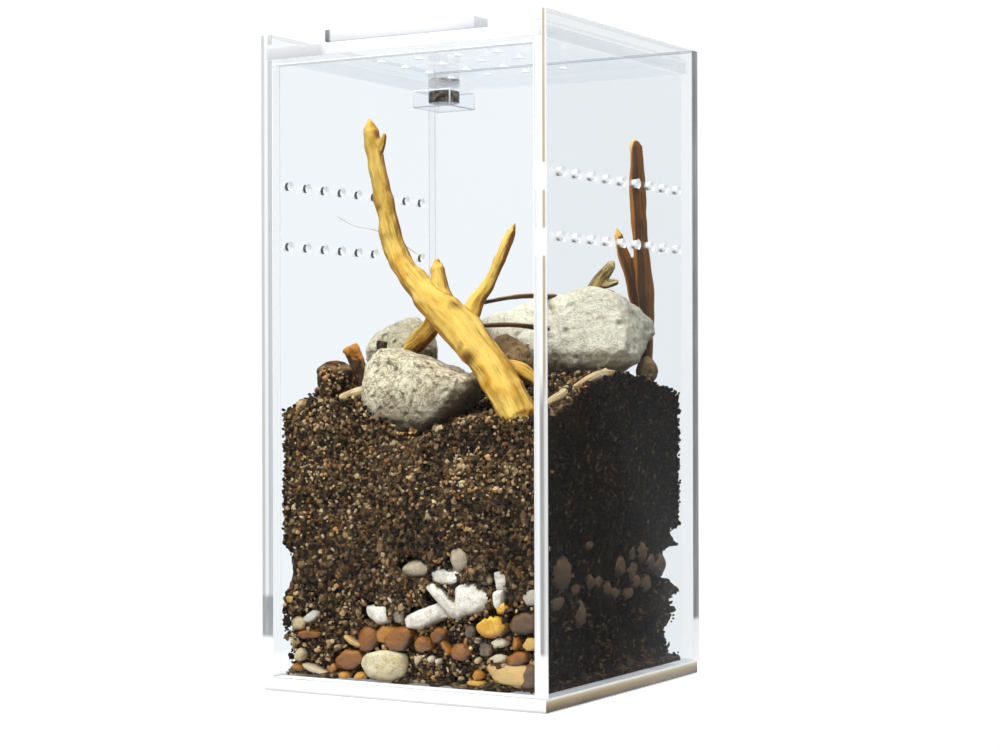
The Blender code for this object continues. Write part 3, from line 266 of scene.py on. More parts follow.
def scatter(cell, salt):
    """Four even random numbers from 0 to 1 for each row of three whole numbers."""
    n = (cell[:, 0] * 73856093) ^ (cell[:, 1] * 19349663) ^ (cell[:, 2] * 83492791) ^ (salt * 40503)
    n = n & 0xFFFFFFFF
    found = []
    for turn in range(4):
        n = (n * 747796405 + 2891336453 + turn) & 0xFFFFFFFF
        n = n ^ (n >> 15)
        n = (n * 277803737) & 0xFFFFFFFF
        n = n ^ (n >> 13)
        found.append(n / 0x100000000)
    return np.stack(found, axis=1)


def ripple(points, size, salt):
    """Smooth noise from -1 to 1 whose bumps are about this size."""
    q = np.asarray(points) / size
    base = np.floor(q).astype(np.int64)
    part = q - base
    part = part * part * (3 - 2 * part)
    total = np.zeros(len(q))
    for step in itertools.product((0, 1), repeat=3):
        step = np.array(step)
        weight = np.prod(np.where(step == 1, part, 1 - part), axis=1)
        total += weight * scatter(base + step, salt)[:, 0]
    return 2 * total - 1


def grains(points, size, salt):
    """Distance to the nearest of scattered seeds in cells of this size, and that seed's random number."""
    q = np.asarray(points) / size
    base = np.floor(q).astype(np.int64)
    best, tone = np.full(len(q), 9.0), np.zeros(len(q))
    for step in itertools.product((-1, 0, 1), repeat=3):
        cell = base + np.array(step)
        seed = scatter(cell, salt)
        gap = np.linalg.norm(q - cell - seed[:, :3], axis=1)
        tone = np.where(gap < best, seed[:, 3], tone)
        best = np.minimum(best, gap)
    return best, tone


def random_turns(rng, count):
    """Even random rotations, as 3 by 3 matrices."""
    q = rng.normal(size=(count, 4))
    w, x, y, z = (q / np.linalg.norm(q, axis=1, keepdims=True)).T
    return np.stack([
        np.stack([1 - 2 * (y * y + z * z), 2 * (x * y - z * w), 2 * (x * z + y * w)], 1),
        np.stack([2 * (x * y + z * w), 1 - 2 * (x * x + z * z), 2 * (y * z - x * w)], 1),
        np.stack([2 * (x * z - y * w), 2 * (y * z + x * w), 1 - 2 * (x * x + y * y)], 1),
    ], 1)


def beside_wall(side, along, depth, up):
    """Places at a depth behind a wall's inside. Along is X at the front and back, and Y at the sides."""
    if side == "front":
        return np.stack([along, -INNER + depth, up], 1)
    if side == "back":
        return np.stack([along, INNER - depth, up], 1)
    if side == "left":
        return np.stack([-INNER + depth, along, up], 1)
    return np.stack([INNER - depth, along, up], 1)


def within(outline, x, z):
    """Whether each point lies inside an outline."""
    found = np.zeros(len(x), bool)
    for (x0, z0), (x1, z1) in zip(outline, (*outline[1:], outline[0])):
        level = np.where(z1 == z0, 1.0, z1 - z0)
        found ^= ((z0 > z) != (z1 > z)) & (x < (x1 - x0) * (z - z0) / level + x0)
    return found


def within_oval(x, z, middle_x, middle_z, half_x, half_z):
    """Whether each point lies inside an upright oval."""
    return ((x - middle_x) / half_x) ** 2 + ((z - middle_z) / half_z) ** 2 < 1


def rough_oval(rng, middle, half):
    """An uneven outline of seven corners about a middle."""
    turn, outline = rng.uniform(0, 1), []
    for k in range(7):
        a = (turn + k) * 2 * math.pi / 7
        x = middle[0] + half[0] * rng.uniform(0.92, 1.10) * math.cos(a)
        outline.append((x, middle[1] + half[1] * rng.uniform(0.92, 1.10) * math.sin(a)))
    return outline


def heap(seed):
    """Outlines, depths and tones of mixed stones at a wall."""
    rng = random.Random(seed)
    found, level, row = [], HEAP_LEVEL, 0
    while level < HEAP_TOP:
        along = HEAP_START + 2.6 * (row % 2)
        while along < HEAP_END:
            if rng.random() < 0.84:
                radius = rng.uniform(1.9, 3.1)
                flat, tilt = rng.uniform(0.6, 0.95), rng.uniform(0, math.pi)
                c, s = math.cos(tilt), math.sin(tilt)
                outline = []
                for k in range(7):
                    a = (k + rng.uniform(-0.25, 0.25)) * 2 * math.pi / 7
                    p, q = radius * math.cos(a), radius * flat * math.sin(a)
                    outline.append((along + p * c - q * s, level + p * s + q * c))
                found.append((outline, rng.uniform(0.3, 1.0), rng.choice(GRAVEL_TONES)))
            along += rng.uniform(4.6, 6.2)
        level += rng.uniform(4.0, 4.8)
        row += 1
    return found


HEAPS = {"left": heap(400), "back": heap(460)}


# Nodes of a material


class Wire:
    """A value, colour or vector in a material's nodes. Sums on values add their Math nodes."""

    def __init__(self, finish, socket):
        self.finish, self.socket = finish, socket

    def math(self, operation, *rest):
        return self.finish.add("ShaderNodeMath", {"operation": operation}, dict(enumerate((self, *rest))))

    def __add__(self, other):
        return self.math("ADD", other)

    def __sub__(self, other):
        return self.math("SUBTRACT", other)

    def __mul__(self, other):
        return self.math("MULTIPLY", other)

    def __truediv__(self, other):
        return self.math("DIVIDE", other)

    def __pow__(self, other):
        return self.math("POWER", other)

    def step(self, low, high):
        """0 below low and 1 above high, with an even slope between them."""
        return self.finish.add("ShaderNodeMapRange", {}, {0: self, 1: low, 2: high})

    def falling(self, low, high):
        """1 below low and 0 above high."""
        return self.finish.add("ShaderNodeMapRange", {}, {0: self, 1: low, 2: high, 3: 1.0, 4: 0.0})

    def thread(self, width):
        """1 where the value is a half, and 0 where it is further from that than the width."""
        return (self - 0.5).math("ABSOLUTE").falling(0.0, width)

    def ramp(self, *stops):
        """A colour for each value: stops are (place, colour)."""
        return self.finish.add("ShaderNodeValToRGB", {"stops": stops}, {0: self})


class Finish:
    """One material, or the world, and the nodes that are added to it."""

    def __init__(self, name, world=None):
        self.material = world or bpy.data.materials.new(name)
        self.output = "ShaderNodeOutputWorld" if world else "ShaderNodeOutputMaterial"
        self.material.use_nodes = True
        self.tree = self.material.node_tree
        self.tree.nodes.clear()
        self.place = self.add("ShaderNodeTexCoord", {}, {}, "Generated" if world else "Object")

    def add(self, kind, settings=None, values=None, out=0):
        node = self.tree.nodes.new(kind)
        for key, value in (settings or {}).items():
            if key == "stops":
                points = node.color_ramp.elements
                points.remove(points[1])
                points[0].position, points[0].color = value[0][0], (*value[0][1], 1.0)
                for place, colour in value[1:]:
                    points.new(place).color = (*colour, 1.0)
            else:
                setattr(node, key, value)
        for key, value in (values or {}).items():
            socket = node.inputs[key]
            if isinstance(value, Wire):
                self.tree.links.new(value.socket, socket)
            elif socket.type == "RGBA" and len(value) == 3:
                socket.default_value = (*value, 1.0)
            else:
                socket.default_value = value
        return None if out is None else Wire(self, node.outputs[out])

    def part(self, axis):
        """One coordinate of the place on the surface."""
        return self.add("ShaderNodeSeparateXYZ", {}, {0: self.place}, axis)

    def facing(self, way, vector=None):
        """How far the surface's normal, or another vector, points along a way."""
        vector = vector or self.add("ShaderNodeNewGeometry", {}, {}, "Normal")
        return self.add("ShaderNodeVectorMath", {"operation": "DOT_PRODUCT"}, {0: vector, 1: way}, "Value")

    def attribute(self, name, out="Fac"):
        return self.add("ShaderNodeAttribute", {"attribute_name": name}, {}, out)

    def stretched(self, vector, scale):
        return self.add("ShaderNodeVectorMath", {"operation": "MULTIPLY"}, {0: vector, 1: scale})

    def shifted(self, vector, by):
        return self.add("ShaderNodeVectorMath", {"operation": "ADD"}, {0: vector, 1: by})

    def noise(self, size, detail=3.0, rough=0.55, vector=None, warp=0.0):
        """Noise from 0 to 1 whose bumps are about this size in metres."""
        return self.add("ShaderNodeTexNoise", {}, {
            "Vector": vector or self.place, "Scale": 1 / size, "Detail": detail, "Roughness": rough,
            "Distortion": warp,
        })

    def cells(self, size, out="Distance", vector=None, feature="F1"):
        values = {"Vector": vector or self.place, "Scale": 1 / size}
        return self.add("ShaderNodeTexVoronoi", {"feature": feature}, values, out)

    def grey(self, colour):
        return self.add("ShaderNodeRGBToBW", {}, {0: colour})

    def blend(self, share, low, high, mode="MIX"):
        """A colour between two, at a share."""
        kind = {"data_type": "RGBA", "blend_type": mode}
        return self.add("ShaderNodeMix", kind, {0: share, 6: low, 7: high}, 2)

    def bump(self, height, distance, strength=1.0):
        return self.add("ShaderNodeBump", {}, {"Height": height, "Distance": distance, "Strength": strength})

    def principled(self, **values):
        inputs = {key.replace("_", " "): value for key, value in values.items()}
        return self.add("ShaderNodeBsdfPrincipled", {}, inputs)

    def done(self, surface):
        """Ends the material with this surface."""
        self.add(self.output, {}, {"Surface": surface}, None)
        return self.material


# Acrylic and metal


BLACK = (0.0, 0.0, 0.0)


def clear_sheet(name, settings, darker=1.0):
    """Clear sheet: it takes a little light from what is behind it and mirrors more at a slant."""
    f = Finish(name)
    slant = f.add("ShaderNodeLayerWeight", {}, {"Blend": 0.5}, "Facing")
    smudge = f.noise(0.024, 4.0, 0.7).step(0.45, 0.8) * 0.0015
    mirror = slant ** 8 * 0.6 + settings.mirror + smudge
    through = f.add("ShaderNodeBsdfTransparent", {}, {"Color": scaled(settings.tint, darker)})
    shine = f.add("ShaderNodeBsdfGlossy", {}, {"Color": (0.95, 0.97, 1.0), "Roughness": 0.03})
    return f.done(f.add("ShaderNodeMixShader", {}, {0: mirror, 1: through, 2: shine}))


def cut_edge(
    name, axis, low, high, stops, glow=0.42, alpha=0.94, patches=(), run="Z", above=None,
    scratch=(0.62, 0.65, 0.67)):
    """A sawn and polished edge: soft bands across the sheet, and patches along it. The bands and patches are
    painted light, shade and reflections, and the edge glows at the strength glow, painted light.

    A patch has the middle and half of its length, its colour, and how much its streaks break it. Above is a
    level, and the bands over it.
    """
    f = Finish(name)
    share = (f.part(axis) - low) / (high - low)
    colour = share.ramp(*stops)
    along = {"X": (60, 400, 400), "Y": (400, 60, 400), "Z": (400, 400, 60)}[run]
    streaks = f.noise(1.0, 3.0, 0.6, f.stretched(f.place, along))
    if above is not None:
        level, upper = above
        colour = f.blend(f.part("Z").step(level - 4 * MM, level + 4 * MM), colour, share.ramp(*upper))
    colour = f.blend(streaks.step(0.42, 0.75) * 0.25, colour, scratch)
    for middle, half, tone, broken in patches:
        near = (f.part(run) - middle).math("ABSOLUTE").falling(half * 0.85, half)
        colour = f.blend(near * (streaks.step(0.3, 0.6) * broken + (1 - broken)), colour, tone)
    # The edge emits its own colour at the glow's strength: painted light
    return f.done(f.principled(
        Base_Color=f.blend(glow, colour, BLACK), Roughness=streaks * 0.2 + 0.2, Specular_IOR_Level=0.3,
        Emission_Color=colour, Emission_Strength=glow, Alpha=alpha, Normal=f.bump(streaks, 0.08 * MM, 0.4),
    ))


def bore_finish(name, axis, face, inward, stops, speck=None, rows=(), near=None):
    """The inside of a drilled vent: bands of colour from the face inwards, which fade out in the clear sheet.
    It glows at half strength, painted light.

    A speck is a colour of painted shade at the bottom of each bore, and rows are the levels of the bores'
    middles, from low to high. Near is a colour of painted shade on the front half of each bore.
    """
    f = Finish(name)
    depth = (f.part(axis) - face) * (inward * 1000)
    flecks = f.noise(0.0005, 2.0, 0.6)
    colour = (depth * 0.4 + (flecks - 0.5) * 0.15).ramp(*stops)
    if speck is not None:
        level, apart = f.part("Z") - rows[0], rows[1] - rows[0]
        level = level - level.step(apart / 2, apart / 2 + 0.1 * MM) * apart
        colour = f.blend(level.falling(-0.0006, -0.0002) * depth.step(0.5, 1.0), colour, speck)
    if near is not None:
        turns = (f.part("Y") - VENT_PLACES[0]) / VENT_PITCH + 0.5
        across = turns.math("FRACT") - 0.5
        colour = f.blend(across.falling(-0.05, 0.0) * depth.falling(0.9, 1.1), colour, near)
    # The bore glows at half strength: painted light
    return f.done(f.principled(
        Base_Color=f.blend(0.5, colour, BLACK), Roughness=flecks * 0.2 + 0.3, Emission_Color=colour,
        Emission_Strength=0.5, Alpha=depth.falling(1.1, 1.8) * 0.9 + 0.05,
        Normal=f.bump(flecks, 0.05 * MM, 0.5),
    ))


def metal_finish(name, colour):
    """Nickel plate with a fine grain and a few dull spots."""
    f = Finish(name)
    worn = f.noise(0.0015, 4.0, 0.65)
    fine = f.noise(0.00025, 2.0)
    return f.done(f.principled(
        Base_Color=f.blend(worn.step(0.44, 0.54), colour, scaled(colour, 0.2)), Metallic=1.0,
        Roughness=worn * 0.25 + 0.12, Normal=f.bump(fine, 0.00004, 0.35),
    ))


# Soil and stone


def soil_finish(name, settings, bright=1.0):
    """Packed potting soil: dark, with brown and a few pale crumbs, as many as it is bright. When it is less
    bright its dark is darker too, and a low bright is painted shade.
    """
    f = Finish(name)
    crumb = f.grey(f.cells(0.0012, "Color"))
    gap = f.cells(0.0012, "Distance")
    fine = f.noise(0.0005, 4.0, 0.7)
    wide = f.noise(0.012, 3.0)
    colour = f.blend(
        crumb.step(0.35, 0.8) * bright, scaled(settings.dark, 0.4 + 0.6 * bright), tuple(settings.brown))
    colour = f.blend((crumb * fine).step(0.42, 0.55) * (0.7 * bright), colour, tuple(settings.pale))
    colour = f.blend(gap.step(0.45, 0.75) * 0.8, colour, scaled(settings.dark, 0.35))
    colour = f.blend(wide.step(0.35, 0.7) * 0.45, colour, tuple(settings.dark))
    return f.done(f.principled(
        Base_Color=colour, Roughness=fine * 0.2 + 0.8, Specular_IOR_Level=0.1,
        Normal=f.bump(fine - gap, 0.0004, 0.8),
    ))


def crumb_finish(name, settings):
    """Loose crumbs of soil: each has its own tone."""
    f = Finish(name)
    fine = f.noise(0.0004, 4.0, 0.7)
    tone = f.attribute("tone") + (fine - 0.5) * 0.25
    dark, brown, pale = (tuple(c) for c in (settings.dark, settings.brown, settings.pale))
    middle = tuple((a + b) / 2 for a, b in zip(brown, pale))
    colour = tone.ramp((0.0, scaled(dark, 0.3)), (0.35, dark), (0.68, brown), (0.88, middle), (1.0, pale))
    warm = f.noise(0.0021, 2.0).step(0.50, 0.60)
    colour = f.blend(warm * 0.6, colour, f.blend(1.0, colour, (1.0, 0.62, 0.26), "MULTIPLY"))
    return f.done(f.principled(
        Base_Color=colour, Roughness=fine * 0.25 + 0.7, Specular_IOR_Level=0.15,
        Normal=f.bump(fine, 0.0003, 0.9),
    ))


def rock_finish(name, light, mid, dark, pit=0.0022, overlay_colour=(0.20, 0.11, 0.04), low=None, spots=0.6):
    """Weathered rock: patches of tone, brown pits and fine grit. Below the height low it darkens, painted
    shade.
    """
    f = Finish(name)
    patch = f.noise(0.008, 5.0, 0.62, None, 0.6)
    grit = f.noise(0.0006, 4.0, 0.7)
    hole = f.cells(pit, "Distance")
    chosen = f.grey(f.cells(pit, "Color")).step(0.35, 0.6)
    vein = f.noise(0.005, 6.0, 0.7, None, 1.2)
    colour = f.blend(patch.step(0.35, 0.65), mid, light)
    colour = f.blend(grit.step(0.48, 0.68) * (0.14 + 0.4 * spots), colour, dark)
    colour = f.blend(vein.thread(0.035) * (0.3 + 0.65 * spots), colour, overlay_colour)
    colour = f.blend(hole.falling(0.05, 0.22) * chosen * 0.5, colour, scaled(overlay_colour, 0.5))
    mottle = f.noise(0.0019, 5.0, 0.75, f.shifted(f.place, (0.03, 0.05, 0.01)), 0.8)
    colour = f.blend(mottle.step(0.53, 0.60) * spots, colour, scaled(overlay_colour, 0.6))
    # Painted shade on the rock's lower part
    if low is not None:
        height = f.part("Z") + (patch - 0.5) * 0.008
        colour = f.blend(height.falling(low - 0.003, low + 0.005) * 0.65, colour, dark)
    # Faces that look down and to the right darken: painted shade
    under = f.facing((0.5, 0.0, -0.85))
    colour = f.blend((under + (patch - 0.5) * 0.8).step(0.1, 0.8) * 0.75, colour, dark)
    relief = grit * 0.8 + patch - hole.falling(0.05, 0.36) * chosen * 1.5
    return f.done(f.principled(
        Base_Color=colour, Roughness=grit * 0.25 + 0.65, Normal=f.bump(relief, 0.0010, 0.9),
    ))


def stone_finish(name, light, dark, overlay_colour, gloss, clear=0.0, coat=0.3):
    """A washed stone: cloudy bands, a few cracks, a darker underside that is painted shade, a top painted
    lighter as a highlight, and a soft shine.

    Gloss is its least roughness, and clear is how much light passes under its skin.
    """
    f = Finish(name)
    cloud = f.noise(0.0035, 4.0, 0.6, None, 0.9)
    grit = f.noise(0.0006, 3.0, 0.6)
    crack = f.noise(0.0028, 5.0, 0.7, f.shifted(f.place, (0.07, 0.02, 0.05)), 1.5)
    colour = f.blend(cloud.step(0.36, 0.64), dark, light)
    colour = f.blend(crack.thread(0.03) * 0.6, colour, overlay_colour)
    colour = f.blend(grit.step(0.55, 0.75) * 0.35, colour, overlay_colour)
    under = f.facing((0.45, 0.0, -0.9))
    # Faces that look down and to the right take the crack colour: painted shade
    colour = f.blend((under + (cloud - 0.5) * 0.8).step(0.12, 0.72) * 0.85, colour, overlay_colour)
    # Faces that look up and to the left are painted lighter: a painted highlight
    colour = f.blend(
        (under + (cloud - 0.5) * 0.6).falling(-0.9, -0.35) * 0.5, colour,
        tuple(min(c * 1.6, 0.95) for c in light))
    return f.done(f.principled(
        Base_Color=colour, Roughness=grit * 0.2 + gloss, Specular_IOR_Level=0.2 + coat,
        Coat_Weight=cloud * coat, Coat_Roughness=0.2, Subsurface_Weight=clear,
        Subsurface_Radius=(0.004, 0.002, 0.0008), Subsurface_Scale=0.5,
        Normal=f.bump(grit + cloud, 0.0003, 0.6),
    ))


def mixed_stone_finish(name):
    """Mixed gravel: each stone has its own colour, from amber through white to brown."""
    f = Finish(name)
    cloud = f.noise(0.003, 4.0, 0.6, None, 0.9)
    grit = f.noise(0.0006, 3.0, 0.6)
    colour = (f.attribute("tone") + (cloud - 0.5) * 0.12).ramp(
        (0.0, (0.16, 0.050, 0.007)), (0.25, (0.46, 0.19, 0.022)), (0.42, (0.58, 0.34, 0.07)),
        (0.60, (0.50, 0.38, 0.20)), (0.78, (0.62, 0.57, 0.46)), (0.90, (0.30, 0.24, 0.17)),
        (1.0, (0.060, 0.035, 0.020)),
    )
    colour = f.blend(cloud.step(0.5, 0.8) * 0.5, colour, f.blend(1.0, colour, (0.5, 0.42, 0.34), "MULTIPLY"))
    colour = f.blend(grit.step(0.55, 0.75) * 0.3, colour, (0.10, 0.06, 0.03))
    return f.done(f.principled(
        Base_Color=colour, Roughness=grit * 0.25 + 0.3, Coat_Weight=0.2, Coat_Roughness=0.25,
        Normal=f.bump(grit + cloud, 0.0003, 0.6),
    ))


# Wood


def wood_finish(name, pale, gold, brown, streak=0.55, sides=(), tip=None, knots=()):
    """Weathered wood: fibres and streaks that run along each limb, and dark checks.

    Sides are (way, share, colour) for painted light and shade on the faces that look that way. A tip is a
    level, its colour above, and how much that level rises along X. Knots are (place, reach) of dark spots.
    """
    f = Finish(name)
    grain = f.attribute("grain", "Vector")
    fibre = f.noise(1.0, 4.0, 0.65, f.stretched(grain, (1100.0, 1100.0, 110.0)))
    fine = f.noise(1.0, 3.0, 0.6, f.stretched(grain, (3000.0, 3000.0, 260.0)))
    patch = f.noise(1.0, 3.0, 0.6, f.stretched(grain, (230.0, 230.0, 70.0)), 0.5)
    check = f.noise(1.0, 2.0, 0.5, f.stretched(grain, (1500.0, 1500.0, 75.0)), 0.8)
    colour = f.blend(patch.step(0.38, 0.62), gold, pale)
    colour = f.blend(fibre.step(0.46, 0.66) * streak, colour, brown)
    colour = f.blend(fine.step(0.5, 0.72) * 0.45, colour, scaled(brown, 0.6))
    colour = f.blend(check.thread(0.022) * 0.75, colour, scaled(brown, 0.25))
    for way, share, overlay_colour in sides:
        # Painted light and shade by the way each face looks
        painted_side_shading = f.facing(way) + (patch - 0.5) * 0.8 + (fibre - 0.5) * 0.6
        colour = f.blend(painted_side_shading.step(0.38, 0.72) * share, colour, overlay_colour)
    for place, reach in knots:
        off = f.add("ShaderNodeVectorMath", {"operation": "DISTANCE"}, {0: f.place, 1: place}, "Value")
        off = off + (fibre - 0.5) * reach
        colour = f.blend(off.falling(reach * 0.35, reach) * 0.9, colour, scaled(brown, 0.4))
    if tip is not None:
        level, above, rise = tip
        height = f.part("Z") - f.part("X") * rise + (fibre - 0.5) * 0.008
        colour = f.blend(height.step(level, level + 0.0006), colour, above)
    return f.done(f.principled(
        Base_Color=colour, Roughness=fine * 0.25 + 0.5, Specular_IOR_Level=0.3,
        Normal=f.bump(fibre + fine * 0.5, 0.0005, 0.7),
    ))


def bark_finish(name, dark, light, tip=None):
    """Bark: dark ridges with paler scales. A tip is a level and its colour above."""
    f = Finish(name)
    ridge = f.noise(0.0022, 5.0, 0.7, f.stretched(f.place, (1.0, 1.0, 0.35)), 0.8)
    fine = f.noise(0.0005, 3.0)
    colour = f.blend(ridge.step(0.42, 0.68), dark, light)
    colour = f.blend(fine.step(0.5, 0.7) * 0.4, colour, scaled(dark, 0.4))
    if tip is not None:
        level, above = tip
        colour = f.blend((f.part("Z") + (ridge - 0.5) * 0.008).step(level, level + 0.001), colour, above)
    return f.done(f.principled(
        Base_Color=colour, Roughness=fine * 0.2 + 0.7, Normal=f.bump(ridge + fine * 0.3, 0.0006, 0.9),
    ))


# Shapes


def add_object(name, data):
    obj = bpy.data.objects.new(name, data)
    bpy.context.scene.collection.objects.link(obj)
    return obj


def mesh_of(name, points, faces, smooth=True):
    """A mesh from an array of points, and its faces as an array or a list."""
    mesh = bpy.data.meshes.new(name)
    mesh.from_pydata(points.tolist(), [], faces.tolist() if isinstance(faces, np.ndarray) else faces)
    if smooth:
        mesh.shade_smooth()
    return mesh


def mesh_from(bm, name):
    """A mesh from a bmesh, which is freed."""
    mesh = bpy.data.meshes.new(name)
    bm.to_mesh(mesh)
    bm.free()
    return mesh


def points_of(mesh, key="co"):
    """The place of each vertex, or another of its vectors, such as its normal."""
    found = np.empty(len(mesh.vertices) * 3)
    mesh.vertices.foreach_get(key, found)
    return found.reshape(-1, 3)


def tree_of(mesh):
    """The mesh's faces as a tree, which finds the nearest place or what a ray hits."""
    faces = [tuple(face.vertices) for face in mesh.polygons]
    return BVHTree.FromPolygons([vert.co for vert in mesh.vertices], faces)


def shaded(mesh, degrees):
    """Shades the mesh smoothly, apart from edges that are sharper than this."""
    mesh.shade_smooth()
    mesh.set_sharp_from_angle(angle=math.radians(degrees))
    return mesh


def move_points(mesh, points):
    mesh.vertices.foreach_set("co", np.ascontiguousarray(points).ravel())
    mesh.update()


def keep_tone(mesh, tones):
    """A number for each vertex, which the material reads as tone."""
    values = np.ascontiguousarray(tones, dtype=float)
    mesh.attributes.new("tone", "FLOAT", "POINT").data.foreach_set("value", values)


def with_modifiers(mesh, *modifiers):
    """A new mesh: this one with modifiers, each a kind and its settings."""
    obj = add_object("shape", mesh)
    for kind, settings in modifiers:
        modifier = obj.modifiers.new(kind.lower(), kind)
        for key, value in settings.items():
            setattr(modifier, key, value)
    graph = bpy.context.evaluated_depsgraph_get()
    made = bpy.data.meshes.new_from_object(obj.evaluated_get(graph))
    bpy.data.objects.remove(obj, do_unlink=True)
    return made


def remeshed(mesh, voxel, rounds):
    """A new mesh: one even skin of this fineness in millimetres, smoothed for some rounds."""
    return with_modifiers(
        mesh, ("REMESH", {"mode": "VOXEL", "voxel_size": voxel * MM}), ("SMOOTH", {"iterations": rounds}))


def joined(name, meshes):
    """One mesh from several, each as it is."""
    points, faces, tones, start = [], [], [], 0
    for mesh in meshes:
        found = points_of(mesh)
        points.append(found)
        faces += [tuple(start + v for v in face.vertices) for face in mesh.polygons]
        if "tone" in mesh.attributes:
            tone = np.empty(len(found))
            mesh.attributes["tone"].data.foreach_get("value", tone)
            tones.append(tone)
        start += len(found)
    whole = mesh_of(name, np.concatenate(points), faces)
    if tones:
        keep_tone(whole, np.concatenate(tones))
    return whole


def piece(name, mesh, body, slot, materials, *nodes):
    """A piece of the scene that rides on a body, and stands for some of its nodes."""
    obj = add_object(name, mesh)
    for material in materials:
        mesh.materials.append(material)
    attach(obj, body)
    if nodes:
        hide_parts(*nodes)
    return obj


def ball(detail):
    """Points and triangles of a round ball of radius 1."""
    bm = bmesh.new()
    bmesh.ops.create_icosphere(bm, subdivisions=detail, radius=1)
    points = np.array([v.co for v in bm.verts])
    faces = np.array([[v.index for v in f.verts] for f in bm.faces])
    bm.free()
    return points, faces


def pins(places, radius, sides, axis, rows):
    """Round cutters along an axis. Rows are the place along the axis and how much wider than the radius."""
    bm = bmesh.new()
    turn = Matrix.Rotation(math.pi / 2, 4, "Y") if axis == "X" else Matrix.Identity(4)
    for place in places:
        rings = []
        for along, wider in rows:
            at = Matrix.Translation((along, *place) if axis == "X" else (*place, along))
            ring = bmesh.ops.create_circle(bm, segments=sides, radius=radius + wider, matrix=at @ turn)
            rings.append(ring["verts"])
        for low, high in zip(rings, rings[1:]):
            for k in range(sides):
                bm.faces.new((low[k - 1], low[k], high[k], high[k - 1]))
        bm.faces.new(rings[0][::-1])
        bm.faces.new(rings[-1])
    bmesh.ops.recalc_face_normals(bm, faces=bm.faces)
    return bm


def vents(places, radius, axis, low, high):
    """Cutters for drilled vents with a small countersink at both faces of the sheet."""
    sink, over = 0.22 * MM, 0.5 * MM
    rows = ((low - over, sink + over), (low + sink, 0), (high - sink, 0), (high + over, sink + over))
    return pins(places, radius, 24, axis, rows)


def sheet_mesh(name, low, high, cutters, bevel):
    """A sheet with its corners just broken, less the cutters' shapes."""
    bm = bmesh.new()
    size = Matrix.Diagonal((*(high - low), 1))
    bmesh.ops.create_cube(bm, size=1, matrix=Matrix.Translation((low + high) / 2) @ size)
    bmesh.ops.bevel(bm, geom=bm.edges, offset=bevel, segments=2, profile=0.5, affect="EDGES")
    tools = [add_object("cutter", mesh_from(cutter, "cutter")) for cutter in cutters]
    steps = [("BOOLEAN", {"operation": "DIFFERENCE", "object": tool, "solver": "EXACT"}) for tool in tools]
    made = with_modifiers(mesh_from(bm, "sheet"), *steps)
    for tool in tools:
        bpy.data.objects.remove(tool, do_unlink=True)
    made.name = name
    return shaded(made, 28)


def painted(mesh, materials, choose):
    """Gives each face the material that choose names for its middle and normal, and returns them all."""
    names = list(materials)
    for face in mesh.polygons:
        face.material_index = names.index(choose(face.center, face.normal))
    return materials.values()


def crumb_mesh(name, places, radii, tones, seed, detail=1, jag=0.34):
    """Many small crumbs in one mesh, each turned, stretched and chipped its own way."""
    rng = np.random.default_rng(seed)
    points, faces = ball(detail)
    count = len(places)
    shapes = points[None] * (1 + jag * rng.uniform(-1, 1, (count, len(points), 1)))
    shapes = shapes * rng.uniform(0.5, 1.35, (count, 1, 3))
    shapes = np.einsum("nij,nkj->nki", random_turns(rng, count), shapes)
    shapes = shapes * radii[:, None, None] + places[:, None]
    corners = faces[None] + (np.arange(count) * len(points))[:, None, None]
    mesh = mesh_of(name, shapes.reshape(-1, 3), corners.reshape(-1, 3), smooth=False)
    keep_tone(mesh, np.repeat(tones, len(points)))
    return mesh


def chipped_stone(outline, front, depth, side, seed, tone=None, worn=2):
    """A stone whose outline shows through a wall: a hull about the outline, with its edges worn."""
    rng = random.Random(seed)
    x0 = sum(x for x, _ in outline) / len(outline)
    z0 = sum(z for _, z in outline) / len(outline)
    rows = []
    for share, back in ((0.66, 0.0), (1.08, 0.20), (1.12, 0.55), (0.70, 1.0)):
        for x, z in outline:
            wear = share * rng.uniform(0.94, 1.05)
            deep = front + depth * min(max(back + rng.uniform(-0.10, 0.10), 0), 1)
            rows.append((x0 + (x - x0) * wear, deep, z0 + (z - z0) * wear))
    along, behind, up = (np.array(c) * MM for c in zip(*rows))
    bm = bmesh.new()
    for place in beside_wall(side, along, behind, np.maximum(up, SOIL_FLOOR)):
        bm.verts.new(place)
    bmesh.ops.convex_hull(bm, input=bm.verts)
    bmesh.ops.delete(bm, geom=[v for v in bm.verts if not v.link_faces], context="VERTS")
    bmesh.ops.subdivide_edges(bm, edges=bm.edges, cuts=2, use_grid_fill=True)
    bmesh.ops.triangulate(bm, faces=bm.faces)
    for _ in range(worn):
        bmesh.ops.smooth_vert(
            bm, verts=bm.verts, factor=0.5, use_axis_x=True, use_axis_y=True, use_axis_z=True)
    bmesh.ops.recalc_face_normals(bm, faces=bm.faces)
    mesh = mesh_from(bm, "stone")
    points = points_of(mesh)
    lumps = ripple(points, 1.6 * MM, seed % 97) * 0.22 + ripple(points, 0.6 * MM, seed % 89) * 0.06
    move_points(mesh, points + points_of(mesh, "normal") * (lumps * MM)[:, None])
    shaded(mesh, 38)
    if tone is not None:
        keep_tone(mesh, np.full(len(mesh.vertices), tone))
    return mesh


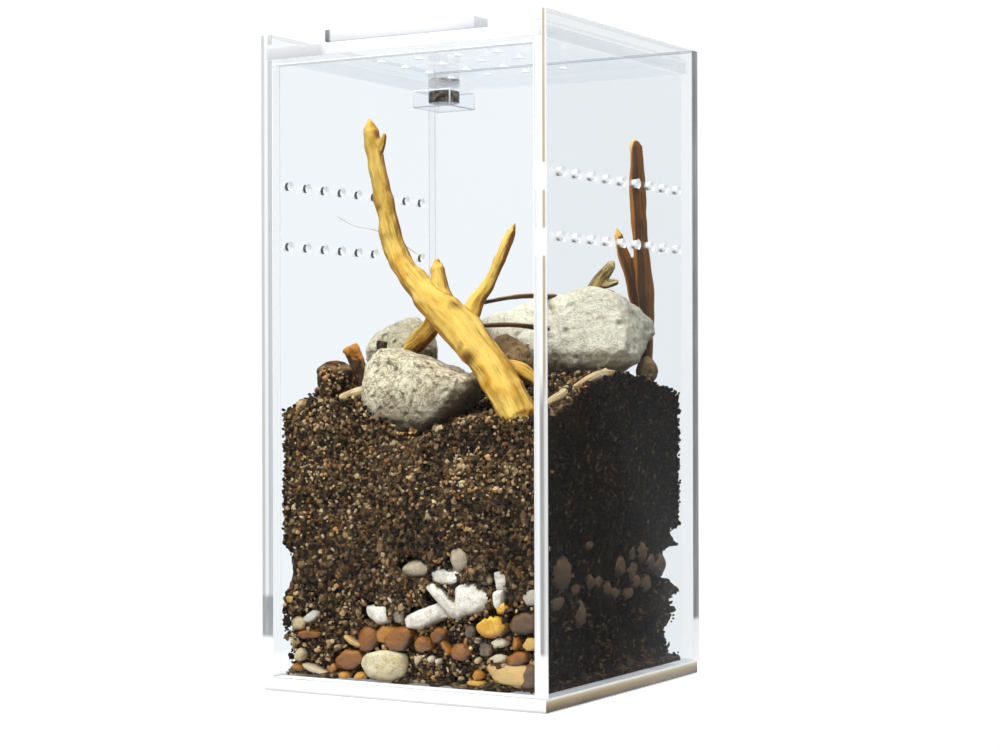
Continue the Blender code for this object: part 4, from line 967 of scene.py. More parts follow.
def rock_mesh(node, voxel, seed, lumps, pits, pit_size=2.6):
    """A rock in the place and shape of its solid, with weathered lumps and pits. Sizes are millimetres."""
    mesh = remeshed(NODES[node].data.copy(), voxel, 3)
    mesh.materials.clear()
    points, normals = points_of(mesh), points_of(mesh, "normal")
    waves = ((5 * MM, 0.6), (2.2 * MM, 0.35), (1 * MM, 0.2))
    height = lumps * sum(ripple(points, size, seed + turn) * tall for turn, (size, tall) in enumerate(waves))
    height += lumps * 0.35 * np.abs(ripple(points, 1.3 * MM, seed + 5))
    gap, tone = grains(points, pit_size * MM, seed + 3)
    height -= pits * np.clip(1 - gap / 0.36, 0, 1) * (tone > 0.55)
    gap, _ = grains(points, 0.9 * MM, seed + 4)
    height -= 0.16 * np.clip(1 - gap / 0.4, 0, 1)
    move_points(mesh, points + normals * (height * MM)[:, None])
    mesh.shade_smooth()
    return mesh


def through(rows, steps=8):
    """A smooth line through rows of x, y, z and radius."""
    rows = np.asarray(rows, float) * MM
    first, last = 2 * rows[0] - rows[1], 2 * rows[-1] - rows[-2]
    padded = np.vstack([first, rows, last])
    found = []
    for a, b, c, d in zip(padded, padded[1:], padded[2:], padded[3:]):
        square, cube = 2 * a - 5 * b + 4 * c - d, 3 * b - a - 3 * c + d
        for t in np.arange(steps) / steps:
            found.append(0.5 * (2 * b + (c - a) * t + square * t * t + cube * t ** 3))
    found.append(rows[-1])
    return np.array(found)


def frames_along(line):
    """Two directions across the line at each of its points, which turn as little as they can."""
    ways = np.gradient(line[:, :3], axis=0)
    ways /= np.linalg.norm(ways, axis=1, keepdims=True)
    side = np.cross(ways[0], (0.3, 0.5, 0.8))
    sides = []
    for way in ways:
        side = side - way * side.dot(way)
        side = side / np.linalg.norm(side)
        sides.append(side)
    sides = np.array(sides)
    return ways, sides, np.cross(ways, sides)


def tube(line, sides=12):
    """A closed tube round a line, with rounded ends."""
    ways, across, up = frames_along(line)
    angles = np.arange(sides) * 2 * math.pi / sides
    rings = []
    for number, (row, a, b) in enumerate(zip(line, across, up)):
        radius = row[3]
        if number in (0, len(line) - 1):
            radius *= 0.6
        rings.append(row[:3] + radius * (np.outer(np.cos(angles), a) + np.outer(np.sin(angles), b)))
    low = line[0, :3] - ways[0] * line[0, 3] * 0.35
    high = line[-1, :3] + ways[-1] * line[-1, 3] * 0.35
    points = np.vstack([*rings, low[None], high[None]])
    faces = []
    for ring in range(len(line) - 1):
        for k in range(sides):
            a, b = ring * sides + k, ring * sides + (k + 1) % sides
            faces.append((a, b, b + sides, a + sides))
    end = len(points)
    last = (len(line) - 1) * sides
    for k in range(sides):
        faces.append(((k + 1) % sides, k, end - 2))
        faces.append((last + k, last + (k + 1) % sides, end - 1))
    return mesh_of("tube", points, faces)


def splinter(start, tip, radius):
    """A short spike on a broken end."""
    middle = ((a + b) / 2 for a, b in zip(start, tip))
    return through([(*start, radius), (*middle, radius * 0.62), (*tip, radius * 0.12)], 4)


def wood_mesh(lines, voxel, seed, ridges=0.16, lumps=0.22, splinters=()):
    """Limbs grown into one piece, with grain that runs along each. Sizes are millimetres."""
    mesh = remeshed(joined("shells", [tube(line) for line in [*lines, *splinters]]), voxel, 2)
    points, normals = points_of(mesh), points_of(mesh, "normal")
    each = np.arange(len(points))
    best = np.full(len(points), np.inf)
    grain = np.zeros((len(points), 3))
    for number, line in enumerate(lines):
        ways, across, up = frames_along(line)
        run = np.concatenate([[0], np.cumsum(np.linalg.norm(np.diff(line[:, :3], axis=0), axis=1))])
        off = points[:, None] - line[None, :, :3]
        reach = np.linalg.norm(off, axis=2) / line[None, :, 3]
        near = reach.argmin(1)
        found, off = reach[each, near], off[each, near]
        here = np.stack([np.einsum("ij,ij->i", off, axes[near]) for axes in (across, up, ways)], 1)
        here[:, 2] += run[near] + number * 0.05
        closer = found < best
        best = np.where(closer, found, best)
        grain = np.where(closer[:, None], here, grain)
    stretched = grain / np.array([1.0, 1.0, 9.0])
    height = ridges * (ripple(stretched, 1.1 * MM, seed) + 0.5 * ripple(stretched, 0.55 * MM, seed + 1))
    height = height + lumps * (ripple(points, 5 * MM, seed + 2) + 0.6 * ripple(points, 2.5 * MM, seed + 3))
    move_points(mesh, points + normals * (height * MM)[:, None])
    values = np.ascontiguousarray(grain).ravel()
    mesh.attributes.new("grain", "FLOAT_VECTOR", "POINT").data.foreach_set("vector", values)
    mesh.shade_smooth()
    return mesh


# Sizes and colours that a user may change


def colour_prop(name, about, default):
    return FloatVectorProperty(
        name=name, description=about, subtype="COLOR", size=3, min=0.0, max=1.0, default=default)


def length_prop(name, about, default):
    return FloatProperty(name=name, description=about, unit="LENGTH", min=0.0, precision=5, default=default)


class AcrylicSettings(bpy.types.PropertyGroup):
    tint: colour_prop("Tint", "Light that one face of a clear sheet lets through", (0.962, 0.974, 0.982))
    mirror: FloatProperty(
        name="Mirror", description="Light that a face mirrors when seen straight on", min=0.0, max=0.3,
        default=0.002)
    edge: colour_prop("Edge", "Bright parts of the sheets' sawn edges", (0.93, 0.94, 0.95))
    corner: length_prop("Corner", "How far the sheets' corners are broken", 0.0002)
    vent_radius: length_prop("Vent radius", "Radius of each drilled vent", 0.001)


class SoilSettings(bpy.types.PropertyGroup):
    dark: colour_prop("Dark", "Damp soil in the gaps", (0.030, 0.021, 0.014))
    brown: colour_prop("Brown", "Most of the crumbs", (0.235, 0.142, 0.066))
    pale: colour_prop("Pale", "Bark and shell crumbs", (0.70, 0.53, 0.30))
    crumb: length_prop("Crumb", "Radius of a common crumb", 0.00042)
    pitch: length_prop("Crumb pitch", "Distance between neighbouring crumbs at a wall", 0.00089)


class StoneSettings(bpy.types.PropertyGroup):
    amber: colour_prop("Amber", "Amber pebbles", (0.27, 0.098, 0.009))
    yellow: colour_prop("Yellow", "Yellow pebbles", (0.80, 0.48, 0.06))
    cream: colour_prop("Cream", "The cream stone", (0.64, 0.58, 0.40))
    white: colour_prop("White", "White stones", (0.90, 0.85, 0.74))
    beige: colour_prop("Beige", "Beige stones", (0.52, 0.44, 0.31))
    depth: length_prop("Depth", "How far the stones at the front reach into the soil", 0.0046)


class WoodSettings(bpy.types.PropertyGroup):
    pale: colour_prop("Pale", "Bleached wood", (0.83, 0.57, 0.13))
    gold: colour_prop("Gold", "Golden wood", (0.58, 0.29, 0.024))
    brown: colour_prop("Brown", "Streaks in the driftwood", (0.28, 0.095, 0.012))
    dark: colour_prop("Dark", "Dark twigs", (0.080, 0.036, 0.015))
    voxel: length_prop("Voxel", "Fineness of the driftwood's mesh", 0.00032)


class StageSettings(bpy.types.PropertyGroup):
    floor: length_prop("Floor radius", "Radius of the pale floor", 1.2)
    key: FloatProperty(
        name="Key light", description="Power of the large lamp at the front left", unit="POWER", min=0.0,
        default=12.0)
    top: FloatProperty(
        name="Top light", description="Power of the lamp overhead", unit="POWER", min=0.0, default=9.0)
    fill: FloatProperty(
        name="Fill", description="Brightness of the room around", min=0.0, max=2.0, default=0.34)
    room: FloatProperty(
        name="Room", description="Brightness of the room in glosses", min=0.0, max=2.0, default=0.9)
    window: FloatProperty(
        name="Window", description="Brightness of the soft window in glosses", min=0.0, max=20.0, default=4.0)


# The case


def evenly(count, pitch, middle=0.0):
    """Evenly spaced places about a middle."""
    return [middle + (number - (count - 1) / 2) * pitch for number in range(count)]


# Two rows of vents in each side wall, and a square grid of them in the lid
VENT_ROWS = (CASE_TOP - 34.8 * MM, CASE_TOP - 49.0 * MM)
VENT_PITCH = 7.25 * MM
VENT_PLACES = evenly(9, VENT_PITCH, -1.5 * MM)
LID_VENT_PITCH = 10.5 * MM
LID_VENT_START = 17.2 * MM
# The lid's room in its grooves, and the grooves' depth
LID_GAP_BELOW = 0.1 * MM
LID_GAP_ABOVE = 0.8 * MM
GROOVE_DEPTH = 1.6 * MM
MAGNET_POCKET = 4.1 * MM

# How squarely a face has to look out of its sheet to count as flat
SQUARE = 0.96
BRIGHT = (0.96, 0.97, 0.98)
# Bands of colour across each cut edge: the stops of a ramp. They are painted light, shade and reflections of
# what shows in the clear edges
BANDS = {
    "side_top": (
        (0.0, (0.80, 0.84, 0.87)), (0.45, (0.66, 0.70, 0.73)), (0.55, (0.84, 0.87, 0.90)),
        (1.0, (0.80, 0.83, 0.86))),
    "right_front": (
        (0.0, (0.84, 0.86, 0.87)), (0.30, (0.90, 0.91, 0.92)), (0.44, (0.30, 0.29, 0.28)),
        (0.66, (0.36, 0.35, 0.33)), (0.76, (0.70, 0.70, 0.69)), (1.0, (0.80, 0.81, 0.82))),
    "right_front_upper": (
        (0.0, (0.80, 0.82, 0.84)), (0.50, (0.93, 0.94, 0.95)), (0.60, (0.90, 0.90, 0.88)),
        (0.68, (0.42, 0.34, 0.21)), (0.82, (0.42, 0.34, 0.21)), (0.90, (0.80, 0.81, 0.82)),
        (1.0, (0.80, 0.82, 0.84))),
    "left_front": (
        (0.0, (0.50, 0.51, 0.52)), (0.25, (0.44, 0.45, 0.46)), (0.38, (0.76, 0.77, 0.78)),
        (0.60, (0.76, 0.77, 0.78)), (0.72, (0.44, 0.45, 0.46)), (1.0, (0.54, 0.55, 0.56))),
    "front": ((0.0, (0.90, 0.92, 0.93)), (0.5, (0.97, 0.98, 0.98)), (1.0, (0.97, 0.98, 0.98))),
    "back": (
        (0.0, (0.21, 0.22, 0.23)), (0.15, (0.13, 0.13, 0.13)), (0.75, (0.15, 0.15, 0.15)),
        (0.90, (0.25, 0.26, 0.27)), (1.0, (0.55, 0.56, 0.57))),
    "base_front": (
        (0.0, (0.40, 0.41, 0.43)), (0.10, (0.50, 0.51, 0.53)), (0.20, (0.74, 0.75, 0.77)),
        (1.0, (0.80, 0.81, 0.83))),
    "base_side": (
        (0.0, (0.014, 0.008, 0.004)), (0.12, (0.028, 0.015, 0.006)), (0.24, (0.10, 0.060, 0.022)),
        (0.52, (0.24, 0.17, 0.075)), (0.80, (0.50, 0.42, 0.26)), (0.92, (0.84, 0.82, 0.76)),
        (1.0, (0.95, 0.95, 0.95))),
    "lid_front": (
        (0.0, (0.60, 0.61, 0.63)), (0.21, (0.58, 0.59, 0.61)), (0.235, (0.84, 0.85, 0.87)),
        (0.36, (0.90, 0.91, 0.92)), (1.0, BRIGHT)),
    "lid_side": (
        (0.0, (0.95, 0.96, 0.97)), (0.3, (0.72, 0.74, 0.76)), (0.6, (0.88, 0.90, 0.91)),
        (1.0, (0.93, 0.94, 0.95))),
    "handle": (
        (0.0, (0.10, 0.11, 0.12)), (0.030, (0.14, 0.15, 0.16)), (0.042, (0.80, 0.82, 0.84)),
        (0.8, (0.85, 0.87, 0.90)), (1.0, (0.74, 0.77, 0.80))),
    "block": (
        (0.0, (0.35, 0.37, 0.39)), (0.3, (0.72, 0.75, 0.77)), (0.7, (0.88, 0.90, 0.92)),
        (1.0, (0.95, 0.96, 0.97))),
}
# The foot of a front edge, with a painted highlight where the base brightens it: middle and half of its
# length, colour, and how broken
FOOT = (5 * MM, 8 * MM, (0.97, 0.98, 0.99), 0.0)
PALE_BORE = ((0.0, BRIGHT), (1.0, (0.85, 0.87, 0.89)))


def plain(colour):
    """The stops of a ramp that has one colour."""
    return (0.0, colour), (1.0, colour)


def face_of_sheet(slant, middle, places, radius):
    """Whether a face is flat, in a vent, at its rim, or an edge, by how square it looks out of the sheet."""
    if slant > SQUARE:
        return "flat"
    if any(math.hypot(middle[0] - a, middle[1] - b) < 1.5 * radius for a, b in places):
        return "bore" if slant < 0.3 else "rim"
    return "edge"


def side_wall(side, settings, clear):
    """A side wall, with its lid groove and its two rows of vents."""
    node = f"{side}_wall"
    low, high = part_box(node)
    sign = 1 if side == "right" else -1
    inner, outer = sign * INNER, sign * (INNER + SHEET)
    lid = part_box("lid_plate")
    bottom, top = lid[0].z - LID_GAP_BELOW, lid[1].z + LID_GAP_ABOVE
    groove = bmesh.new()
    size = Matrix.Diagonal((2 * GROOVE_DEPTH, 90 * MM, top - bottom, 1))
    bmesh.ops.create_cube(groove, size=1, matrix=Matrix.Translation((inner, 0, (bottom + top) / 2)) @ size)
    places = [(y, z) for z in VENT_ROWS for y in VENT_PLACES]
    drilled = vents(places, settings.vent_radius, "X", low.x, high.x)
    mesh = sheet_mesh(node, low, high, (groove, drilled), settings.corner)
    if side == "right":
        # Bright patches beside the vent rows on the front edge: painted highlights
        beside_vents = [(row - 1.6 * MM, 3.2 * MM, settings.edge, 0.0) for row in VENT_ROWS]
        front = cut_edge(
            "right_front_edge", "X", inner, outer, BANDS["right_front"], patches=(FOOT, *beside_vents),
            above=(70 * MM, BANDS["right_front_upper"]))
        bore = bore_finish("pale_bore", "X", outer, -1, PALE_BORE, (0.16, 0.12, 0.07), VENT_ROWS[::-1])
        rim = bore_finish("outer_rim", "X", outer, -1, plain(BRIGHT))
    else:
        # A dark patch low on the left front edge is a painted reflection
        front = cut_edge(
            "left_front_edge", "X", outer, inner, BANDS["left_front"],
            patches=((16 * MM, 6.5 * MM, (0.26, 0.27, 0.28), 0.5), FOOT))
        bore = bore_finish("dark_bore", "X", inner, -1, plain(BRIGHT), near=(0.010, 0.011, 0.012))
        rim = bore_finish("inner_rim", "X", inner, -1, plain(BRIGHT))
    edge = plain(settings.edge)
    materials = {
        "flat": clear, "front": front,
        "top": cut_edge(f"{side}_top_edge", "X", inner, outer, BANDS["side_top"], run="Y", alpha=0.4),
        "bore": bore, "rim": rim,
        "rear": cut_edge(f"{side}_rear_edge", "X", inner, outer, edge, alpha=0.12),
        "groove": cut_edge(f"{side}_groove", "Z", bottom, top, edge, run="Y", alpha=0.12),
    }

    def choose(middle, normal):
        kind = face_of_sheet(abs(normal.x), middle.yz, places, settings.vent_radius)
        if kind != "edge":
            return kind
        in_groove = bottom - 0.5 * MM < middle.z < top + 0.5 * MM and middle.y > low.y + MM
        if in_groove and abs(middle.x) < INNER + GROOVE_DEPTH + 0.1 * MM:
            return "groove"
        if abs(normal.z) > abs(normal.y):
            return "top"
        return "front" if middle.y < 0 else "rear"

    piece(f"{side}_clear_wall", mesh, "case", "acrylic", painted(mesh, materials, choose), node)


def end_wall(end, settings, clear):
    """The front or back wall, a plain sheet."""
    node = f"{end}_wall"
    mesh = sheet_mesh(node, *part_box(node), (), settings.corner)
    sign = 1 if end == "back" else -1
    across = ("Y", sign * INNER, sign * (INNER + SHEET))
    foot = ((7 * MM, 7 * MM, BRIGHT, 0.0),) if end == "back" else ()
    edge = plain(settings.edge)
    materials = {
        "flat": clear, "edge": cut_edge(f"{node}_edge", *across, BANDS[end], patches=foot),
        "far": cut_edge(f"{node}_far_edge", *across, edge, alpha=0.15),
        "top": cut_edge(f"{node}_top_edge", *across, edge, run="X"),
    }

    def choose(middle, normal):
        if abs(normal.y) > SQUARE:
            return "flat"
        if normal.x < -0.7:
            return "far"
        return "top" if normal.z > 0.7 else "edge"

    piece(f"{end}_clear_wall", mesh, "case", "acrylic", painted(mesh, materials, choose), node)


class TERRARIUM_OT_case(bpy.types.Operator):
    """Base and four walls of clear sheet, with sawn edges, lid grooves and drilled vents"""

    bl_idname = "terrarium.case"
    bl_label = "Case"

    def execute(self, context):
        settings = context.scene.terrarium_acrylic
        clear = clear_sheet("clear_acrylic", settings)
        side_wall("left", settings, clear)
        side_wall("right", settings, clear_sheet("shaded_acrylic", settings, 0.955))
        end_wall("front", settings, clear)
        end_wall("back", settings, clear)
        low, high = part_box("base_plate")
        mesh = sheet_mesh("base", low, high, (), settings.corner)
        across = ("Z", low.z, high.z)
        side = cut_edge("base_side_edge", *across, BANDS["base_side"], run="Y", scratch=(0.46, 0.37, 0.22))
        front = cut_edge("base_front_edge", *across, BANDS["base_front"], run="X")
        materials = {"flat": clear, "front": front, "side": side}

        def choose(middle, normal):
            if abs(normal.z) > SQUARE:
                return "flat"
            return "front" if abs(normal.y) > abs(normal.x) else "side"

        piece("clear_base", mesh, "case", "acrylic", painted(mesh, materials, choose), "base_plate")
        return {"FINISHED"}


def magnet_pocket(node, bottom, top):
    """A round cutter about a magnet, between two levels."""
    low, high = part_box(node)
    return pins([((low + high) / 2)[:2]], MAGNET_POCKET, 48, "Z", ((bottom, 0), (top, 0)))


class TERRARIUM_OT_lid(bpy.types.Operator):
    """Sliding lid of clear sheet with sixteen vents, and the bar that it is pulled by"""

    bl_idname = "terrarium.lid"
    bl_label = "Lid"

    def execute(self, context):
        settings = context.scene.terrarium_acrylic
        low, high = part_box("lid_plate")
        columns = evenly(4, LID_VENT_PITCH)
        places = [(x, low.y + LID_VENT_START + row * LID_VENT_PITCH) for x in columns for row in range(4)]
        drilled = vents(places, settings.vent_radius, "Z", low.z, high.z)
        pocket = magnet_pocket("lid_magnet", low.z + 0.7 * MM, high.z + 2 * MM)
        mesh = sheet_mesh("lid", low, high, (drilled, pocket), settings.corner)
        bore_start = low.z - 0.9 * MM
        materials = {
            "flat": clear_sheet("lid_acrylic", settings, 1.018),
            "front": cut_edge("lid_front_edge", "X", low.x, high.x, BANDS["lid_front"], run="X"),
            "edge": cut_edge("lid_side_edge", "Z", low.z, high.z, BANDS["lid_side"], run="Y", alpha=0.3),
            "bore": bore_finish("lid_bore", "Z", bore_start, 1, plain(BRIGHT)),
            "rim": bore_finish("lid_vent_rim", "Z", bore_start, 1, plain(BRIGHT)),
        }

        def choose(middle, normal):
            kind = face_of_sheet(abs(normal.z), middle.xy, places, settings.vent_radius)
            return "front" if kind == "edge" and normal.y < -0.6 and middle.y < low.y + MM else kind

        piece("clear_lid", mesh, "lid", "acrylic", painted(mesh, materials, choose), "lid_plate")
        low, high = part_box("lid_handle")
        mesh = sheet_mesh("handle", low, high, (), 0.3 * MM)
        bar = cut_edge("handle_finish", "X", low.x, high.x, BANDS["handle"], run="X")
        piece("clear_handle", mesh, "lid", "acrylic", (bar,), "lid_handle")
        return {"FINISHED"}


def disc_mesh(name, node):
    """A plated disc in the place of its solid, with broken corners."""
    low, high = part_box(node)
    bm = pins([((low + high) / 2)[:2]], (high.x - low.x) / 2, 56, "Z", ((low.z, 0), (high.z, 0)))
    bevel = {"width": 0.35 * MM, "segments": 3, "limit_method": "ANGLE", "angle_limit": math.radians(60)}
    return shaded(with_modifiers(mesh_from(bm, name), ("BEVEL", bevel)), 35)


class TERRARIUM_OT_latch(bpy.types.Operator):
    """Corner block with its magnet, and the magnet let into the lid above it"""

    bl_idname = "terrarium.latch"
    bl_label = "Latch"

    def execute(self, context):
        plated = metal_finish("plated_disc", (0.27, 0.21, 0.15))
        for name, body in (("block", "case"), ("lid", "lid")):
            disc = disc_mesh(f"{name}_disc", f"{name}_magnet")
            piece(f"{name}_disc", disc, body, "nickel", (plated,), f"{name}_magnet")
        low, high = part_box("magnet_block")
        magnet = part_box("block_magnet")
        axis = (magnet[0] + magnet[1]) / 2
        pocket = magnet_pocket("block_magnet", magnet[0].z - 0.05 * MM, high.z + MM)
        mesh = sheet_mesh("block", low, high, (pocket,), 0.3 * MM)
        materials = {
            "flat": bpy.data.materials["clear_acrylic"],
            "edge": cut_edge("block_edge", "Z", low.z, high.z, BANDS["block"], run="X", alpha=0.75),
        }

        def choose(middle, normal):
            in_pocket = (middle.xy - axis.xy).length < MAGNET_POCKET + 0.2 * MM
            return "flat" if in_pocket or max(map(abs, normal)) > 0.985 else "edge"

        piece("clear_block", mesh, "case", "acrylic", painted(mesh, materials, choose), "magnet_block")
        return {"FINISHED"}


# The planting


# The lowest layer of the mass, and how far in millimetres it is drawn out to the side and back walls
LOWEST_LAYER = 1.4 * MM
LOWEST_REACH = 6.0
# Where the back right corner of the soil starts along Y
CORNER_START = 20 * MM
# How far crumbs at a wall look for soil: straight in from the wall, all about, and for the mass itself
RAY_REACH, SOIL_REACH, MASS_REACH = 7 * MM, 4.8 * MM, 0.9 * MM
# The palest tone of a common crumb, and the share and the tones of those of bark and shell
COMMON_TONE = 0.84
PALE_SHARE, PALE_TONES = 0.10, (0.86, 1.0)


def push_to_walls(points, normals, sink):
    """Moves faces that look at a wall out to it, and all of the lowest layer except at the front."""
    for side, way in INWARD.items():
        axis = 0 if way[0] else 1
        out = -points[:, axis] * way[axis]
        lowest = (points[:, 2] < SOIL_FLOOR + LOWEST_LAYER) & (side != "front")
        near = (normals[:, axis] * way[axis] < -0.45) | lowest
        near &= out > SOIL_HALF - np.where(lowest, LOWEST_REACH, WALL_REACH[side]) * MM
        points[near, axis] = -np.maximum(out, SOIL_HALF - sink * 0.9 * MM)[near] * way[axis]


def fill_back_corner(points):
    """Stretches the soil at the back right corner along Y, so that each level of it meets the back wall."""
    level = points[:, 2] / MM
    corner = (points[:, 0] > SOIL_HALF - 8 * MM) & (points[:, 1] > CORNER_START)
    beside = corner & (points[:, 0] > SOIL_HALF - 1.5 * MM)
    rows = [(row, points[beside & (np.abs(level - row) < 2), 1]) for row in range(4, 70, 2)]
    ends = np.interp(level, *zip(*((row, found.max()) for row, found in rows if len(found)))) - CORNER_START
    spread = CORNER_START + (points[:, 1] - CORNER_START) * (SOIL_HALF - CORNER_START) / ends
    points[corner, 1] = np.minimum(spread, np.maximum(points[:, 1], SOIL_HALF - 0.5 * MM))[corner]


def draw_in_pockets(points):
    """Draws the soil in where air is left at the front and right walls."""
    level = points[:, 2] / MM
    for side, wall, along, sign in (("front", 1, 0, 1), ("right", 0, 1, -1)):
        for middle, height, half, tall in POCKETS[side]:
            reach = half * np.sqrt(np.clip(1 - ((level - height) / tall) ** 2, 0, 1))
            edge = (middle + sign * reach) * MM
            near = (reach > 0) & (points[:, wall] * -sign > 27 * MM) & (points[:, along] * sign < edge * sign)
            points[near, along] = edge[near]


def soil_body():
    """The soil's mass: its solid, broken into lumps that stay just behind its faces."""
    mesh = remeshed(NODES["soil_bed"].data.copy(), 0.66, 1)
    mesh.materials.clear()
    points, normals = points_of(mesh), points_of(mesh, "normal")
    lump, _ = grains(points, 2.4 * MM, 21)
    crumb, _ = grains(points, 1.2 * MM, 22)
    sink = 0.25 + 0.6 * np.clip(lump - 0.25, 0, 1) + 0.5 * np.clip(crumb - 0.2, 0, 1)
    sink = np.where(points[:, 2] < SOIL_FLOOR + MM, 0.0, sink)
    points -= normals * (sink * MM)[:, None]
    push_to_walls(points, normals, sink)
    fill_back_corner(points)
    draw_in_pockets(points)
    move_points(mesh, points)
    mesh.shade_smooth()
    return mesh


def free_spots(side, along, up):
    """Whether each spot at a wall lies outside its air pockets and the stones that show there."""
    x, z = along / MM, up / MM
    free = np.ones(len(x), bool)
    for oval in (*POCKETS[side], *(RIGHT_STONES if side == "right" else ())):
        free &= ~within_oval(x, z, *oval)
    outlines = [row[0] for row in HEAPS.get(side, ())]
    if side == "front":
        outlines += [row[2] for row in (*FRONT_STONES.values(), *BETWEEN_STONES)]
    for outline in outlines:
        free &= ~within(outline, x, z)
    for node in DULL_STONES if side == "right" else ():
        low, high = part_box(node)
        free &= ~within_oval(along, up, *((low + high) / 2).yz, *((high - low) * 0.52).yz)
    return free


def wall_crumbs(side, tree, mass, settings, seed, bright):
    """Crumbs pressed against one wall, on the solid and its mass. Bright is how many are brown or pale, and
    the right wall's low bright and darker tones are painted shade.
    """
    rng = np.random.default_rng(seed)
    pitch = settings.pitch
    count = round(2 * SOIL_HALF / pitch)
    u, v = np.meshgrid(np.arange(count), np.arange(count + 8))
    along = (u.ravel() + 0.5 - count / 2 + rng.uniform(-0.5, 0.5, u.size)) * pitch
    along = np.clip(along, -SOIL_HALF, SOIL_HALF)
    up = SOIL_FLOOR + (v.ravel() + rng.uniform(0.1, 0.9, v.size)) * pitch
    radii = settings.crumb * np.exp(rng.normal(0, 0.33, len(along)))
    up = np.maximum(up, SOIL_FLOOR + radii)
    way = Vector(INWARD[side])
    starts = [Vector(start) for start in beside_wall(side, along, 0 * along, up)]
    hits = [tree.ray_cast(start, way, RAY_REACH)[3] for start in starts]
    nearest = [tree.find_nearest(start + way * MM, SOIL_REACH)[0] for start in starts]
    beside = [near is not None and near.z > start.z - 0.5 * MM for near, start in zip(nearest, starts)]
    kept = np.array([hit is not None for hit in hits]) | np.array(beside)
    kept &= free_spots(side, along, up)
    gap = np.array([hit or MM for hit in hits])
    gap = np.where(gap < WALL_REACH[side] * MM, np.minimum(gap, 0.9 * MM), gap)
    depth = np.maximum(gap + rng.uniform(-0.6, 0.3, len(along)) * MM, radii * 1.35)
    places = beside_wall(side, along, depth, up)
    if side in ("right", "back"):
        held = [mass.find_nearest(Vector(place), MASS_REACH)[0] is not None for place in places]
        kept &= np.array(held)
    wide = ripple(places, 9 * MM, seed) * 0.20 + ripple(places, 4 * MM, seed + 1) * 0.14
    tones = rng.beta(2.2, 2.4, len(along)) * bright + wide * min(bright + 0.45, 1)
    tones = np.clip(tones, 0, COMMON_TONE) * (RIGHT_SHADE if side == "right" else 1.0)
    pale = rng.uniform(size=len(along)) < PALE_SHARE * bright ** 2
    tones[pale] = rng.uniform(*PALE_TONES, pale.sum())
    for x, z, reach, rise in PATCHES.get(side, ()):
        off = np.hypot(along - x * MM, up - z * MM) / (reach * MM)
        tones = np.clip(tones + rise * np.exp(-off * off), 0, 1)
    return crumb_mesh(f"{side}_crumbs", places[kept], radii[kept], tones[kept], seed)


def top_crumbs(tree, settings, seed, count=5600, clods=60):
    """Crumbs and small clods that lie on the soil."""
    rng = np.random.default_rng(seed)
    reach = SOIL_HALF - 0.6 * MM
    x, y = rng.uniform(-reach, reach, (2, count))
    radii = settings.crumb * np.exp(rng.normal(0, 0.36, count))
    radii[:clods] = rng.uniform(0.8, 1.4, clods) * MM
    down = Vector((0, 0, -1))
    hits = [tree.ray_cast(Vector((a, b, CASE_TOP)), down, CASE_TOP)[0] for a, b in zip(x, y)]
    kept = np.array([hit is not None for hit in hits])
    z = np.array([hit.z if hit else 0.0 for hit in hits]) + radii * 0.3
    places = np.stack([x, y, z], 1)
    tones = rng.beta(2.0, 2.6, count) + ripple(places, 9 * MM, seed) * 0.18
    tones = np.clip(tones, 0.3 * (radii > 0.7 * MM), COMMON_TONE)
    pale = rng.uniform(size=count) < PALE_SHARE
    tones[pale] = rng.uniform(*PALE_TONES, pale.sum())
    return crumb_mesh("top_crumbs", places[kept], radii[kept], tones[kept], seed)


def lump_crumbs(settings, seed, count=520):
    """Crumbs that stick to the clump of soil on top."""
    rng = np.random.default_rng(seed)
    low, high = (np.array(corner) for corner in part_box("soil_clump"))
    ways = rng.normal(size=(count, 3))
    ways /= np.linalg.norm(ways, axis=1, keepdims=True)
    places = (low + high) / 2 + ways * (high - low) / 2 * 0.9
    radii = settings.crumb * np.exp(rng.normal(-0.1, 0.3, count))
    pale = rng.uniform(size=count) < 0.44
    tones = np.where(pale, rng.uniform(*PALE_TONES, count), rng.uniform(0.1, 0.8, count))
    return crumb_mesh("lump_crumbs", places, radii, tones, seed + 1)


class TERRARIUM_OT_soil(bpy.types.Operator):
    """Potting soil: its mass, the crumbs pressed against each wall, and those that lie on top"""

    bl_idname = "terrarium.soil"
    bl_label = "Soil"

    def execute(self, context):
        settings = context.scene.terrarium_soil
        packed, loose = soil_finish("packed_soil", settings), crumb_finish("loose_crumbs", settings)
        # The soil's faces at the right wall take the darker copy, painted shade
        materials = {"packed": packed, "shaded": soil_finish("shaded_soil", settings, 0.30)}

        def choose(middle, normal):
            return "shaded" if normal.x > 0.5 and middle.x > SOIL_HALF - 3 * MM else "packed"

        body = soil_body()
        piece("soil_mass", body, "case", "soil", painted(body, materials, choose), "soil_bed")
        mass, tree = tree_of(body), tree_of(NODES["soil_bed"].data)
        for number, (side, bright) in enumerate(WALL_BRIGHTNESS.items()):
            crumbs = wall_crumbs(side, tree, mass, settings, 50 + number, bright)
            piece(f"soil_crumbs_{side}", crumbs, "case", "soil", (loose,))
        piece("soil_crumbs_top", top_crumbs(tree, settings, 60), "case", "soil", (loose,))
        lump = rock_mesh("soil_clump", 0.4, 71, lumps=0.5, pits=0.5, pit_size=1.6)
        keep_tone(lump, np.clip(0.45 + ripple(points_of(lump), 1.5 * MM, 5) * 0.4, 0, 0.8))
        lump = joined("lump", [lump, lump_crumbs(settings, 72)])
        piece("soil_lump", lump, "case", "soil_lump", (loose,), "soil_clump")
        return {"FINISHED"}


